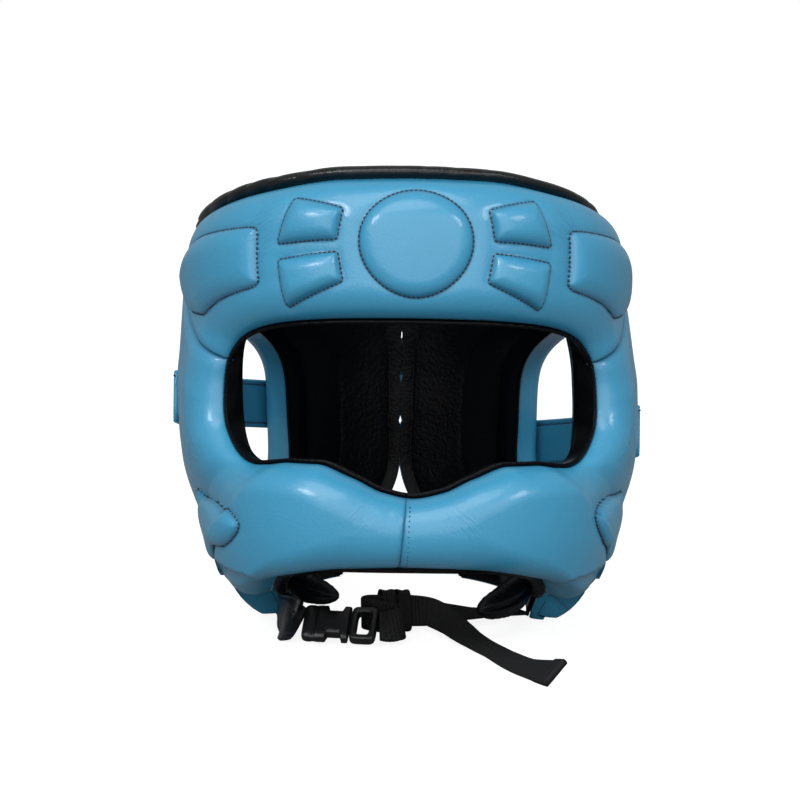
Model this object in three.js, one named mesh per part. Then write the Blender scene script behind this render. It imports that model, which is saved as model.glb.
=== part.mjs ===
import * as THREE from 'three';

// Padded head guard with a padded face bar. Millimetres, +Z up, resting on z = 0, facing -Y.
// Places on the guard are given round the head: degrees from the brow (0) to the back (180),
// positive towards +X, then a height, then an offset outwards from the inside of the guard.
// Left is -X, as seen from the front.

// Driving sizes
const HEAD_AXIS_Y = 21.5;
const GAP = 0.3;
const LINING = 2;
const LIP_GAP = 0.6;
const PAD_GAP = 0.4;
const PAD_INSIDE = LINING + PAD_GAP;
const BACK_SQUARENESS = 2;
const LEAN = { slope: 0.04, aboutZ: 115 };
const SQUARE_BLEND = 0.25;
const PROBE = 0.05;

// Inside of the guard, a row for each height
const HEAD = smoothTable('z half front back squareness', [
  [-10, 54, 84, 74, 2.4],
  [10, 61, 98, 84, 2.5],
  [35, 69.5, 110, 92, 2.7],
  [60, 77.5, 114, 97, 2.8],
  [85, 82, 112, 99, 2.8],
  [110, 83, 107, 100, 2.7],
  [150, 83, 98, 99, 2.6],
  [190, 84, 93, 97, 2.5],
  [230, 82, 86, 92, 2.4],
]);

// Mask round the eye opening, a row for each section from the brow's middle (0) to the chin's (18).
// Each section runs from the eye edge to the outer edge, and its padding swells from lip to crown.
// Slant is how far the eye edge draws back from its lip on the inside.
const MASK = smoothTable('row eyeDeg eyeZ edgeDeg edgeZ crown eyeLip edgeLip shoulder slant', [
  [-1, -14, 153.5, -19, 215, 29, 15, 12, 20, 1],
  [0, 0, 154, 0, 216, 29, 15, 12, 20, 1],
  [1, 14, 153.5, 19, 215, 29, 15, 12, 20, 1],
  [2, 27, 151.5, 39, 209, 28, 15, 12, 20, 2],
  [3, 37.5, 147, 60, 199, 26, 15, 14, 20, 6],
  [4, 44.5, 139.5, 82, 187, 24.5, 15, 15, 20, 13],
  [5, 47.3, 131, 101.6, 181, 26.5, 16, 15, 20, 20],
  [6, 48, 121.5, 101.6, 143, 29.5, 16, 16, 20, 26],
  [7, 47.5, 111, 86, 120, 31, 16, 16, 20, 28],
  [8, 46, 102.5, 83, 98, 31, 16, 16, 20, 26],
  [9, 43, 96, 86, 76, 30.5, 16, 16, 22, 21],
  [10, 39.4, 90.5, 101.6, 37, 28.5, 16, 14, 30, 12],
  [11, 36, 87.2, 101.6, 1.5, 25, 16, 7, 45, 5],
  [12, 33, 86.3, 80, 1.5, 25.5, 16, 7, 45, 2],
  [13, 29.5, 86.8, 63, 1.5, 28, 16, 10, 40, 1],
  [14, 25, 88, 54, 21, 31, 16, 13, 26, 1],
  [15, 19.5, 88, 41, 25, 33, 16, 13, 22, 1],
  [16, 12.5, 83, 26, 42.5, 34, 16, 13, 20, 1],
  [17, 6.5, 77, 13, 47, 33, 16, 13, 20, 1],
  [18, 0, 74.5, 0, 47.5, 32, 16, 13, 20, 1],
  [19, -6.5, 77, -13, 47, 33, 16, 13, 20, 1],
]);
const EYE_SHOULDER = 17;
const WIDEST_SHOULDER = 0.5;
const MID_WALL = 15;
const BROW_ROWS = { end: 5, steps: 28 };
const FACE_ROWS = { start: 5, end: 18, steps: 30 };
const SEAM = 0.03;
const CHIN_SEAM = 0.006;

// Back panels, from the ear edge (0) to the laced edge (1)
const BACK_TOP = smoothTable('across z', [
  [0, 181], [0.12, 183.5], [0.35, 193], [0.65, 202], [0.85, 203], [1, 200],
]);
const BACK = {
  frontDeg: 101.85, bottomZ: 1.5, crown: 20, lip: 12, shoulder: 14, width: 130, height: 190, steps: 10,
  foot: 0.5, footHeight: 0.35,
};
const EAR = { z: 88, halfHeight: 56, deg: 36 };
const LACED_GAP = { half: 0.8, flareZ: 62, flareRadius: 40, reach: 98 };
const BACK_HEIGHTS = [0, 0.03, 0.08, 0.18, 0.3, 0.42, 0.54, 0.66, 0.78, 0.9, 0.96, 1];

// Pads raised on the mask: corners as [row, share of the way from the eye edge to the outer edge]
const BROW_DISC = { centre: [0, 0.525], half: [0.79, 0.375], rise: 3 };
const RAISED_PADS = {
  brow_pad_upper: { rise: 4, corners: [[0.95, 0.77], [1.5, 0.875], [1.78, 0.58], [1.06, 0.57]] },
  brow_pad_lower: { rise: 4, corners: [[1.07, 0.49], [1.8, 0.48], [1.9, 0.11], [1.04, 0.28]] },
  temple_pad: { rise: 5, corners: [[1.97, 0.72], [3, 0.79], [4.05, 0.7], [3.8, 0.23], [2.18, 0.31]] },
  cheek_pad: {
    rise: 4,
    corners: [[10.2, 0.25], [12.5, 0.165], [14.1, 0.31], [14.3, 0.42], [13.9, 0.53], [11.8, 0.52]],
  },
};
const RAISED = { clear: 0.95, corner: 0.22, spokes: 16, rings: [0.42, 0.84] };

// Rolled rim along the top edge
const RIM = { half: 7, halfHeight: 3.4, offset: 7, sides: 7, clear: 0.6 };
const RIM_FRONT = { end: 4.9, steps: 30 };
const RIM_BACK = { start: 0.03, end: 0.985, steps: 12 };

// Straps over the ear openings, from the cheek to the back panel
const EAR_STRAP = {
  startDeg: 77, flatDeg: 79, endDeg: 152, startOffset: 30.7, endOffset: 21.2, half: 13, thick: 2.6, steps: 16,
};
const EAR_STRAP_HEIGHT = { left: [109, 90], right: [94, 71] };

// Black padded flaps inside the jaw, a row for each end
const JAW_FLAP = { half: 6, offset: -7, rings: 9, spokes: 10 };
const JAW_FLAPS = {
  left: { deg: [70, 22], z: [20, 20.5], halfHeight: [12, 7] },
  right: { deg: [70, 23], z: [17, 11.5], halfHeight: [11, 7] },
};

// Laces across the back, zigzag between rows of holes
const LACE = {
  radius: 1.2, reach: 14, firstZ: 82.3, pitch: 23.3, rows: 5, lift: 1.5, sides: 5, panelOffset: 20, steps: 3,
};

// Chin strap
const WEBBING = { half: 7.5, thick: 1.4 };
const PLY = WEBBING.thick / 2 + GAP;
const KEEPER = {
  half: 10, halfDepth: 2.6, wall: 0.9, spans: [[7.9, 8.75], [8.9, 9.7]], sections: 5, bends: 2,
};
const BUCKLE = { at: [-38, -88.5, 9], yawDeg: -9, tiltDeg: 38, half: 10, thick: 6 };
const SOCKET = {
  length: 22, notchFrom: 0, notchTo: 7, ramp: 1, tail: 2, tailShare: 0.8, notchShare: 0.7, mouthShare: 0.95,
};
const PLUG = { length: 12.7, mouthShare: 0.85, chamfer: 2, slotFrom: 5, bar: 2.4, slotHalf: 8 };
const TAB = { thick: 2.4, steps: 12 };

const TAB_ROUTE = [
  { x: -61.2, y: -49, z: 8.6, tilt: 88, low: 8, high: 8 },
  { x: -60.4, y: -60, z: 9.2, tilt: 86, low: 9, high: 8.5 },
  { x: -58.8, y: -71.5, z: 10, tilt: 84, low: 9.8, high: 9.8 },
  { x: -57, y: -80.5, z: 10.6, tilt: 72, low: 11, high: 11 },
  { x: -54.2, y: -84.6, z: 9.9, tilt: 54, low: 11.5, high: 10 },
  { x: -51, y: -85.6, z: 9.1, tilt: 38, low: 10, high: 9 },
];
const LOOP_ROUTE = [
  { x: -13.3, y: -92.5, z: 9, tilt: 38 },
  { x: -8.5, y: -92.6, z: 9.2, tilt: 60 },
  { x: -3.8, y: -89.6, z: 9.6, tilt: 78 },
  { x: -3.8, y: -84.6, z: 10.2, tilt: 86 },
  { x: -9, y: -81.6, z: 10.8, tilt: 88 },
  { x: -15.5, y: -79.8, z: 11.4, tilt: 88 },
  { x: -20, y: -76.6, z: 11.8, tilt: 88 },
  { x: -18.8, y: -72.2, z: 12, tilt: 88 },
  { x: -12.5, y: -69.2, z: 11.6, tilt: 86 },
  { x: -4.5, y: -64.8, z: 10.8, tilt: 80 },
  { x: 3.5, y: -59.6, z: 9.6, tilt: 70 },
  { x: 12, y: -54.2, z: 8.2, tilt: 45 },
  { x: 24, y: -48, z: 6.6, tilt: 20 },
  { x: 36, y: -42, z: 5.2, tilt: 6 },
  { x: 48, y: -35.6, z: 4.2, tilt: 0 },
  { x: 58.5, y: -30, z: 3.6, tilt: 0 },
];
const KEPT_ROWS = 11;
const TAIL_ROUTE = [
  { x: 11.4, y: -57.8, z: 8.4, tilt: 52 },
  { x: 18.4, y: -63.4, z: 6.2, tilt: 30 },
  { x: 24, y: -73, z: 4.6, tilt: 18 },
  { x: 28.6, y: -84.5, z: 3.6, tilt: 13 },
  { x: 34, y: -97, z: 3.4, tilt: 15 },
  { x: 42, y: -115, z: 3.6, tilt: 18 },
  { x: 50, y: -138, z: 3.8, tilt: 21 },
  { x: 57, y: -155, z: 4, tilt: 23 },
  { x: 62, y: -166.5, z: 4, tilt: 24 },
];
const STRAP_STEPS = 3;

const BLUE = new THREE.MeshStandardMaterial({ color: 0x66a9d8, roughness: 0.38, metalness: 0 });
const BLACK = new THREE.MeshStandardMaterial({ color: 0x101318, roughness: 0.45, metalness: 0 });
const WEB = new THREE.MeshStandardMaterial({ color: 0x0d0e11, roughness: 0.85, metalness: 0 });
const PLASTIC = new THREE.MeshStandardMaterial({ color: 0x0b0c0e, roughness: 0.3, metalness: 0 });

// Tables and curves

function smoothTable(names, rows) {
  const keys = names.split(' ');
  const first = rows.map((row) => row[0]);
  const table = {};
  keys.slice(1).forEach((key, i) => {
    table[key] = smooth(first, rows.map((row) => row[i + 1]));
  });
  return table;
}

// Cubic through the points that never overshoots them: each slope is a mean of its two chords
function smooth(xs, ys) {
  const last = xs.length - 1;
  const step = xs.slice(1).map((x, i) => x - xs[i]);
  const chord = step.map((width, i) => (ys[i + 1] - ys[i]) / width);
  const slope = xs.map((_, i) => {
    if (i === 0) return chord[0];
    if (i === last) return chord[last - 1];
    if (chord[i - 1] * chord[i] <= 0) return 0;
    const near = 2 * step[i] + step[i - 1];
    const far = step[i] + 2 * step[i - 1];
    return (near + far) / (near / chord[i - 1] + far / chord[i]);
  });
  return (x) => {
    let i = 0;
    while (i < last - 1 && x > xs[i + 1]) i += 1;
    const t = (x - xs[i]) / step[i];
    const rest = 1 - t;
    return rest * rest * ((1 + 2 * t) * ys[i] + t * step[i] * slope[i])
      + t * t * ((3 - 2 * t) * ys[i + 1] - rest * step[i] * slope[i + 1]);
  };
}

function spread(count, from, to) {
  return Array.from({ length: count + 1 }, (_, i) => from + ((to - from) * i) / count);
}

// Shares from 0 to 1 that crowd towards both ends
function crowded(count) {
  return spread(count, 0, Math.PI).map((a) => (1 - Math.cos(a)) / 2);
}

// Quarter ellipse from 0 at the edge to 1 at the end of the shoulder
function rise(share) {
  return Math.sqrt(1 - (1 - THREE.MathUtils.clamp(share, 0, 1)) ** 2);
}

// Solids

// Closed solid through rings of equal length, ended by caps, by two poles, or joined round.
// A cap is a strip across the ring, from its way out to its way back, which starts at the turn.
function loft(rings, ends) {
  const count = rings[0].length;
  const points = rings.flat();
  const faces = [];
  const spans = ends.round ? rings.length : rings.length - 1;
  for (let r = 0; r < spans; r += 1) {
    const next = (r + 1) % rings.length;
    for (let i = 0; i < count; i += 1) {
      const j = (i + 1) % count;
      faces.push([r * count + i, next * count + i, next * count + j]);
      faces.push([r * count + i, next * count + j, r * count + j]);
    }
  }
  const top = (rings.length - 1) * count;
  if (ends.turn) {
    for (const face of capStrip(count, ends.turn)) {
      faces.push(face);
      faces.push(face.map((i) => top + i).reverse());
    }
  }
  if (ends.poles) {
    const start = points.push(ends.poles[0]) - 1;
    const end = points.push(ends.poles[1]) - 1;
    for (let i = 0; i < count; i += 1) {
      const j = (i + 1) % count;
      faces.push([start, i, j]);
      faces.push([end, top + j, top + i]);
    }
  }
  return solid(points, faces);
}

function capStrip(count, turn) {
  const faces = [];
  let out = 0;
  let back = count - 1;
  while (out < turn - 1 || back > turn) {
    const outNext = (out + 1) / (turn - 1);
    const backNext = (count - back) / (count - 1 - turn);
    if (outNext <= backNext) {
      faces.push([out, out + 1, back]);
      out += 1;
    } else {
      faces.push([out, back - 1, back]);
      back -= 1;
    }
  }
  return faces;
}

// Indexed geometry whose faces look outwards
function solid(points, faces) {
  const volume = faces.reduce((sum, [a, b, c]) => {
    return sum + points[a].dot(points[b].clone().cross(points[c]));
  }, 0);
  const index = volume < 0 ? faces.map((face) => [...face].reverse()) : faces;
  const geometry = new THREE.BufferGeometry().setFromPoints(points);
  geometry.setIndex(index.flat());
  geometry.computeVertexNormals();
  return geometry;
}

// The head's inside and places out from it. The soft sides lean over to the left

function headPoint(deg, z) {
  const angle = THREE.MathUtils.degToRad(deg);
  const forward = Math.cos(angle);
  const side = Math.sin(angle);
  const blend = THREE.MathUtils.smoothstep(forward, -SQUARE_BLEND, SQUARE_BLEND);
  const power = THREE.MathUtils.lerp(BACK_SQUARENESS, HEAD.squareness(z), blend);
  const reach = forward > 0 ? HEAD.front(z) : HEAD.back(z);
  const sum = (Math.abs(forward) / reach) ** power + (Math.abs(side) / HEAD.half(z)) ** power;
  const radius = sum ** (-1 / power);
  const lean = LEAN.slope * (z - LEAN.aboutZ) * side * side;
  return new THREE.Vector3(radius * side - lean, -radius * forward, z);
}

function outward(deg, z) {
  const along = headPoint(deg + PROBE, z).sub(headPoint(deg - PROBE, z));
  const up = headPoint(deg, z + PROBE).sub(headPoint(deg, z - PROBE));
  return along.cross(up).normalize();
}

// Nothing reaches below the floor, so soft edges flatten where they rest
function wall(deg, z, offset) {
  const point = headPoint(deg, z).addScaledVector(outward(deg, z), offset);
  point.z = Math.max(point.z, 0);
  return point;
}

// Mask: brow pad, two face pads and their lining

function maskSection(row) {
  const side = Math.sign(row) || 1;
  const at = {};
  for (const key of Object.keys(MASK)) at[key] = MASK[key](Math.abs(row));
  at.eyeDeg *= side;
  at.edgeDeg *= side;
  at.length = wall(at.eyeDeg, at.eyeZ, MID_WALL).distanceTo(wall(at.edgeDeg, at.edgeZ, MID_WALL));
  return at;
}

function maskOffset(at, share) {
  const eyeShoulder = Math.min(EYE_SHOULDER / at.length, WIDEST_SHOULDER);
  const edgeShoulder = Math.min(at.shoulder / at.length, WIDEST_SHOULDER);
  const fromEye = at.eyeLip + (at.crown - at.eyeLip) * rise(share / eyeShoulder);
  const fromEdge = at.edgeLip + (at.crown - at.edgeLip) * rise((1 - share) / edgeShoulder);
  return Math.min(fromEye, fromEdge);
}

function maskPoint(at, share, offset) {
  const deg = THREE.MathUtils.lerp(at.eyeDeg, at.edgeDeg, share);
  const z = THREE.MathUtils.lerp(at.eyeZ, at.edgeZ, share);
  return wall(deg, z, offset);
}

// Solid through mask sections, each an outline of [share, offset] pairs
function maskLoft(rows, outlineAt, turn) {
  const rings = rows.map((row) => {
    const at = maskSection(row);
    return outlineAt(at).map(([share, offset]) => maskPoint(at, share, offset));
  });
  return loft(rings, { turn });
}

const INSIDE_SHARES = spread(4, 0, 1);
const OUTSIDE_SHARES = crowded(8);
const PAD_TURN = OUTSIDE_SHARES.length;
const LINING_TURN = INSIDE_SHARES.length + 2;

function slantedShares(at) {
  const start = at.slant / at.length;
  return INSIDE_SHARES.map((share) => THREE.MathUtils.lerp(start, 1, share));
}

function padOutline(at) {
  const outside = OUTSIDE_SHARES.map((share) => [share, maskOffset(at, share)]);
  const inside = [...slantedShares(at)].reverse().map((share) => [share, PAD_INSIDE]);
  return [...outside, ...inside];
}

// The lining turns round the eye edge in a lip that covers the pad's thickness
function liningOutline(at) {
  const near = -LIP_GAP / at.length;
  const far = -(LIP_GAP + LINING) / at.length;
  const shares = slantedShares(at);
  const [start] = shares;
  const lip = [[start + near, LINING], [near, at.eyeLip], [far, at.eyeLip], [start + far, 0]];
  const outside = [...shares].reverse().map((share) => [share, LINING]);
  const inside = shares.map((share) => [share, 0]);
  return [...outside, ...lip, ...inside];
}

// Pads raised on the mask

// Closed outline through corners that are rounded off, as a function of the spoke
function roundedOutline(corners) {
  const path = new THREE.CurvePath();
  const points = corners.map(([row, share]) => new THREE.Vector2(row, share));
  points.forEach((corner, i) => {
    const before = points[(i + points.length - 1) % points.length];
    const after = points[(i + 1) % points.length];
    const enter = corner.clone().lerp(before, RAISED.corner);
    const leave = corner.clone().lerp(after, RAISED.corner);
    const arrive = after.clone().lerp(corner, RAISED.corner);
    path.add(new THREE.QuadraticBezierCurve(enter, corner, leave));
    path.add(new THREE.LineCurve(leave, arrive));
  });
  return path.getSpacedPoints(RAISED.spokes).slice(0, -1);
}

function discOutline({ centre, half }) {
  return spread(RAISED.spokes, 0, 2 * Math.PI).slice(0, -1).map((angle) => {
    return new THREE.Vector2(centre[0] + half[0] * Math.cos(angle), centre[1] + half[1] * Math.sin(angle));
  });
}

// Shallow pillow on the mask inside an outline
function raisedPad(outline, height) {
  const middle = outline.reduce((sum, p) => sum.add(p), new THREE.Vector2()).divideScalar(outline.length);
  const place = (point, lift) => {
    const at = maskSection(point.x);
    return maskPoint(at, point.y, maskOffset(at, point.y) + RAISED.clear + lift);
  };
  const ring = (reach, top) => outline.map((corner) => {
    const lift = top * height * Math.sqrt(1 - reach ** 2);
    return place(middle.clone().lerp(corner, reach), lift);
  });
  const over = RAISED.rings.map((reach) => ring(reach, 1));
  const under = [...RAISED.rings].reverse().map((reach) => ring(reach, 0));
  const rings = [...over, ring(1, 0), ...under];
  return loft(rings, { poles: [place(middle, height), place(middle, 0)] });
}

// Back panels

function backPlace(across, share) {
  const z = BACK.bottomZ + (BACK_TOP.z(across) - BACK.bottomZ) * share;
  const bulge = 1 - ((z - EAR.z) / EAR.halfHeight) ** 4;
  const front = BACK.frontDeg + EAR.deg * Math.max(bulge, 0);
  const flare = Math.max(LACED_GAP.flareZ - z, 0) ** 2 / (2 * LACED_GAP.flareRadius);
  const half = LACED_GAP.half + flare;
  const back = 180 - THREE.MathUtils.radToDeg(Math.atan2(half, LACED_GAP.reach));
  return { deg: THREE.MathUtils.lerp(front, back, across), z };
}

function backOffset(across, share) {
  const fromSides = Math.min(across, 1 - across) * BACK.width;
  const fromEnds = Math.min(share, 1 - share) * BACK.height;
  const nearest = Math.min(fromSides, fromEnds);
  const full = BACK.lip + (BACK.crown - BACK.lip) * rise(nearest / BACK.shoulder);
  const taper = THREE.MathUtils.lerp(BACK.foot, 1, rise(share / BACK.footHeight));
  return PAD_INSIDE + (full - PAD_INSIDE) * taper;
}

// The way up follows one face and the way down the other, so pad and lining share their diagonals
function backLoft(side, upOffset, downOffset) {
  const outlineAt = (across) => [
    ...BACK_HEIGHTS.map((share) => [share, upOffset(across, share)]),
    ...[...BACK_HEIGHTS].reverse().map((share) => [share, downOffset]),
  ];
  const rings = crowded(BACK.steps).map((across) => outlineAt(across).map(([share, offset]) => {
    const { deg, z } = backPlace(across, share);
    return wall(side * deg, z, offset);
  }));
  return loft(rings, { turn: BACK_HEIGHTS.length });
}

// Strips swept along a route

function ellipse(sides) {
  return spread(sides, 0, 2 * Math.PI).slice(0, -1).map((a) => new THREE.Vector2(Math.cos(a), Math.sin(a)));
}

const BAND_TURN = 2;

function band(half, thick) {
  return [[-half, -thick / 2], [half, -thick / 2], [half, thick / 2], [-half, thick / 2]]
    .map(([across, up]) => new THREE.Vector2(across, up));
}

// Ring of an outline set across a frame, kept above the floor
function framed({ centre, side, normal }, outline) {
  return outline.map(({ x, y }) => {
    const point = centre.clone().addScaledVector(side, x).addScaledVector(normal, y);
    point.z = Math.max(point.z, 0);
    return point;
  });
}

// Frames along points that each know which way their width lies
function frames(points, sides) {
  return points.map((centre, i) => {
    const ahead = points[Math.min(i + 1, points.length - 1)];
    const behind = points[Math.max(i - 1, 0)];
    const along = ahead.clone().sub(behind).normalize();
    const normal = along.clone().cross(sides[i]).normalize();
    return { centre, side: normal.clone().cross(along), normal };
  });
}

// Frame at a place along a route of rows, where tilt lifts the width from the floor
function routeFrame(rows, place) {
  const knots = rows.map(({ x, y, z }) => new THREE.Vector3(x, y, z));
  const curve = new THREE.CatmullRomCurve3(knots, false, 'centripetal');
  const t = place / (rows.length - 1);
  const along = curve.getTangent(t);
  const left = new THREE.Vector3(-along.y, along.x, 0).normalize();
  const i = Math.min(Math.floor(place), rows.length - 2);
  const mix = (key) => THREE.MathUtils.lerp(rows[i][key], rows[i + 1][key], place - i);
  const tilt = THREE.MathUtils.degToRad(mix('tilt'));
  const lean = left.multiplyScalar(Math.cos(tilt)).add(new THREE.Vector3(0, 0, Math.sin(tilt)));
  const normal = along.clone().cross(lean).normalize();
  return { centre: curve.getPoint(t), side: normal.clone().cross(along), normal, mix };
}

function webbing(rows, shift) {
  const places = spread((rows.length - 1) * STRAP_STEPS, 0, rows.length - 1);
  const outline = band(WEBBING.half, WEBBING.thick);
  const rings = places.map((place) => {
    const frame = routeFrame(rows, place);
    const ply = THREE.MathUtils.clamp(KEPT_ROWS + 1 - place, 0, 1);
    frame.centre.addScaledVector(frame.normal, shift * ply);
    return framed(frame, outline);
  });
  return loft(rings, { turn: BAND_TURN });
}

function keeperBand([from, to]) {
  const wallAt = (grow) => {
    const shape = new THREE.Shape();
    const width = KEEPER.half + grow;
    const depth = KEEPER.halfDepth + grow;
    shape.moveTo(-width + depth, -depth);
    shape.absarc(width - depth, 0, depth, -Math.PI / 2, Math.PI / 2);
    shape.absarc(-width + depth, 0, depth, Math.PI / 2, 1.5 * Math.PI);
    return shape.getPoints(KEEPER.bends).slice(0, -1);
  };
  const sections = spread(KEEPER.sections - 1, from, to).map((place) => routeFrame(LOOP_ROUTE, place));
  const outside = sections.map((frame) => framed(frame, wallAt(KEEPER.wall)));
  const inside = sections.map((frame) => framed(frame, wallAt(0))).reverse();
  const loops = [...outside, ...inside];
  const rings = loops[0].map((_, i) => loops.map((loop) => loop[i]));
  return loft(rings, { round: true });
}

function rimRoll(places) {
  const points = places.map(({ deg, z }) => {
    const lift = outward(deg, z).cross(headPoint(deg + PROBE, z).sub(headPoint(deg, z))).normalize();
    const up = lift.z < 0 ? lift.negate() : lift;
    return wall(deg, z, RIM.offset).addScaledVector(up, RIM.halfHeight + RIM.clear);
  });
  const sides = places.map(({ deg, z }) => outward(deg, z));
  const outline = ellipse(RIM.sides).map(({ x, y }) => new THREE.Vector2(x * RIM.half, y * RIM.halfHeight));
  const rings = frames(points, sides).map((frame) => framed(frame, outline));
  return loft(rings, { turn: Math.ceil(RIM.sides / 2) });
}

function earStrap(side, heights) {
  const { startDeg, flatDeg, endDeg, startOffset, endOffset, half, thick } = EAR_STRAP;
  const points = spread(EAR_STRAP.steps, startDeg, endDeg).map((deg) => {
    const share = (deg - startDeg) / (endDeg - startDeg);
    const fall = THREE.MathUtils.clamp((deg - flatDeg) / (endDeg - flatDeg), 0, 1);
    const z = THREE.MathUtils.lerp(heights[0], heights[1], share);
    return wall(side * deg, z, THREE.MathUtils.lerp(startOffset, endOffset, fall) + thick / 2);
  });
  const outline = band(half, thick);
  const up = new THREE.Vector3(0, 0, 1);
  const rings = frames(points, points.map(() => up)).map((frame) => framed(frame, outline));
  return loft(rings, { turn: BAND_TURN });
}

function jawFlap(side, { deg, z, halfHeight }) {
  const shares = spread(JAW_FLAP.rings + 1, 0, 1);
  const centres = shares.map((share) => {
    const turn = side * THREE.MathUtils.lerp(...deg, share);
    return wall(turn, THREE.MathUtils.lerp(...z, share), JAW_FLAP.offset);
  });
  const up = new THREE.Vector3(0, 0, 1);
  const rings = frames(centres, centres.map(() => up)).slice(1, -1).map((frame, i) => {
    const share = shares[i + 1];
    const round = Math.sqrt(1 - Math.abs(2 * share - 1) ** 4);
    const tall = THREE.MathUtils.lerp(...halfHeight, share);
    const outline = ellipse(JAW_FLAP.spokes)
      .map(({ x, y }) => new THREE.Vector2(x * tall * round, y * JAW_FLAP.half * round));
    return framed(frame, outline);
  });
  return loft(rings, { poles: [centres[0], centres[centres.length - 1]] });
}

function strapTab() {
  const places = spread(TAB.steps, 0, TAB_ROUTE.length - 1);
  const rings = places.map((place) => {
    const frame = routeFrame(TAB_ROUTE, place);
    const outline = band(1, TAB.thick).map(({ x, y }) => {
      return new THREE.Vector2(x < 0 ? -frame.mix('low') : frame.mix('high'), y);
    });
    return framed(frame, outline);
  });
  return loft(rings, { turn: BAND_TURN });
}

// One lace, which starts on the given side and changes sides at each row of holes
function lace(side, lift) {
  const points = [];
  for (let row = 0; row < LACE.rows; row += 1) {
    const turn = row % 2 === 0 ? side : -side;
    points.push({ x: turn * LACE.reach, z: LACE.firstZ + row * LACE.pitch, lift: 0 });
    if (row < LACE.rows - 1) points.push({ x: 0, z: LACE.firstZ + (row + 0.5) * LACE.pitch, lift });
  }
  const centres = points.map((point) => {
    const deg = 180 - THREE.MathUtils.radToDeg(Math.atan2(point.x, LACED_GAP.reach + LACE.panelOffset));
    return wall(deg, point.z, LACE.panelOffset + LACE.radius + GAP + point.lift);
  });
  const curve = new THREE.CatmullRomCurve3(centres, false, 'centripetal');
  const placed = curve.getPoints((centres.length - 1) * LACE.steps);
  const outline = ellipse(LACE.sides).map((p) => p.multiplyScalar(LACE.radius));
  const back = placed.map(() => new THREE.Vector3(0, 1, 0));
  const rings = frames(placed, back).map((frame) => framed(frame, outline));
  return loft(rings, { turn: Math.ceil(LACE.sides / 2) });
}

// Side release buckle

// Flat piece in the buckle's own plane, from a plan outline, centred in its thickness
function bucklePlate(plan, holes) {
  const shape = new THREE.Shape(plan.map(([x, y]) => new THREE.Vector2(x, y)));
  holes.forEach((hole) => shape.holes.push(new THREE.Path(hole.map(([x, y]) => new THREE.Vector2(x, y)))));
  const geometry = new THREE.ExtrudeGeometry(shape, { depth: BUCKLE.thick, bevelEnabled: false });
  return geometry.translate(0, 0, -BUCKLE.thick / 2);
}

// Socket with a notch in each side, where the plug's arms are pressed
function buckleSocket() {
  const end = SOCKET.length / 2;
  const edge = [
    [-end, SOCKET.tailShare],
    [-end + SOCKET.tail, 1],
    [SOCKET.notchFrom, 1],
    [SOCKET.notchFrom + SOCKET.ramp, SOCKET.notchShare],
    [SOCKET.notchTo, SOCKET.notchShare],
    [SOCKET.notchTo + SOCKET.ramp, 1],
    [end, SOCKET.mouthShare],
  ].map(([x, share]) => [x, share * BUCKLE.half]);
  const mirrored = edge.map(([x, y]) => [x, -y]);
  return bucklePlate([...mirrored, ...edge.reverse()], []);
}

// Plug with the slot that the webbing passes through
function bucklePlug() {
  const { chamfer, slotHalf } = PLUG;
  const { half } = BUCKLE;
  const start = SOCKET.length / 2 + GAP;
  const end = start + PLUG.length;
  const edge = [[start, PLUG.mouthShare * half], [end - chamfer, half], [end, half - chamfer]];
  const mirrored = edge.map(([x, y]) => [x, -y]);
  const from = start + PLUG.slotFrom;
  const to = end - PLUG.bar;
  const hole = [[from, -slotHalf], [from, slotHalf], [to, slotHalf], [to, -slotHalf]];
  return bucklePlate([...mirrored, ...edge.reverse()], [hole]);
}

// Assembly

const guard = new THREE.Group();
guard.position.y = HEAD_AXIS_Y;

function add(name, geometry, material, parent = guard) {
  const mesh = new THREE.Mesh(geometry, material);
  mesh.name = name;
  parent.add(mesh);
}

const browRows = spread(BROW_ROWS.steps, -BROW_ROWS.end + SEAM, BROW_ROWS.end - SEAM);
add('forehead_pad', maskLoft(browRows, padOutline, PAD_TURN), BLUE);
add('forehead_lining', maskLoft(browRows, liningOutline, LINING_TURN), BLACK);
add('brow_disc', raisedPad(discOutline(BROW_DISC), BROW_DISC.rise), BLUE);
add('rim_front', rimRoll(spread(RIM_FRONT.steps, -RIM_FRONT.end, RIM_FRONT.end).map((row) => {
  const at = maskSection(row);
  return { deg: at.edgeDeg, z: at.edgeZ };
})), BLACK);

for (const [name, side] of [['left', -1], ['right', 1]]) {
  const rows = spread(FACE_ROWS.steps, FACE_ROWS.start + SEAM, FACE_ROWS.end - CHIN_SEAM);
  const faceRows = rows.map((row) => side * row);
  add(`face_pad_${name}`, maskLoft(faceRows, padOutline, PAD_TURN), BLUE);
  add(`face_lining_${name}`, maskLoft(faceRows, liningOutline, LINING_TURN), BLACK);
  add(`back_pad_${name}`, backLoft(side, backOffset, PAD_INSIDE), BLUE);
  add(`back_lining_${name}`, backLoft(side, () => 0, LINING), BLACK);
  for (const [pad, { corners, rise: height }] of Object.entries(RAISED_PADS)) {
    const outline = roundedOutline(corners.map(([row, share]) => [side * row, share]));
    add(`${pad}_${name}`, raisedPad(outline, height), BLUE);
  }
  add(`rim_back_${name}`, rimRoll(spread(RIM_BACK.steps, RIM_BACK.start, RIM_BACK.end).map((across) => {
    const { deg, z } = backPlace(across, 1);
    return { deg: side * deg, z };
  })), BLACK);
  add(`ear_strap_${name}`, earStrap(side, EAR_STRAP_HEIGHT[name]), BLUE);
  add(`jaw_flap_${name}`, jawFlap(side, JAW_FLAPS[name]), BLACK);
  add(`back_lace_${name}`, lace(side, side > 0 ? 2 * LACE.lift : 0), WEB);
}

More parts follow.
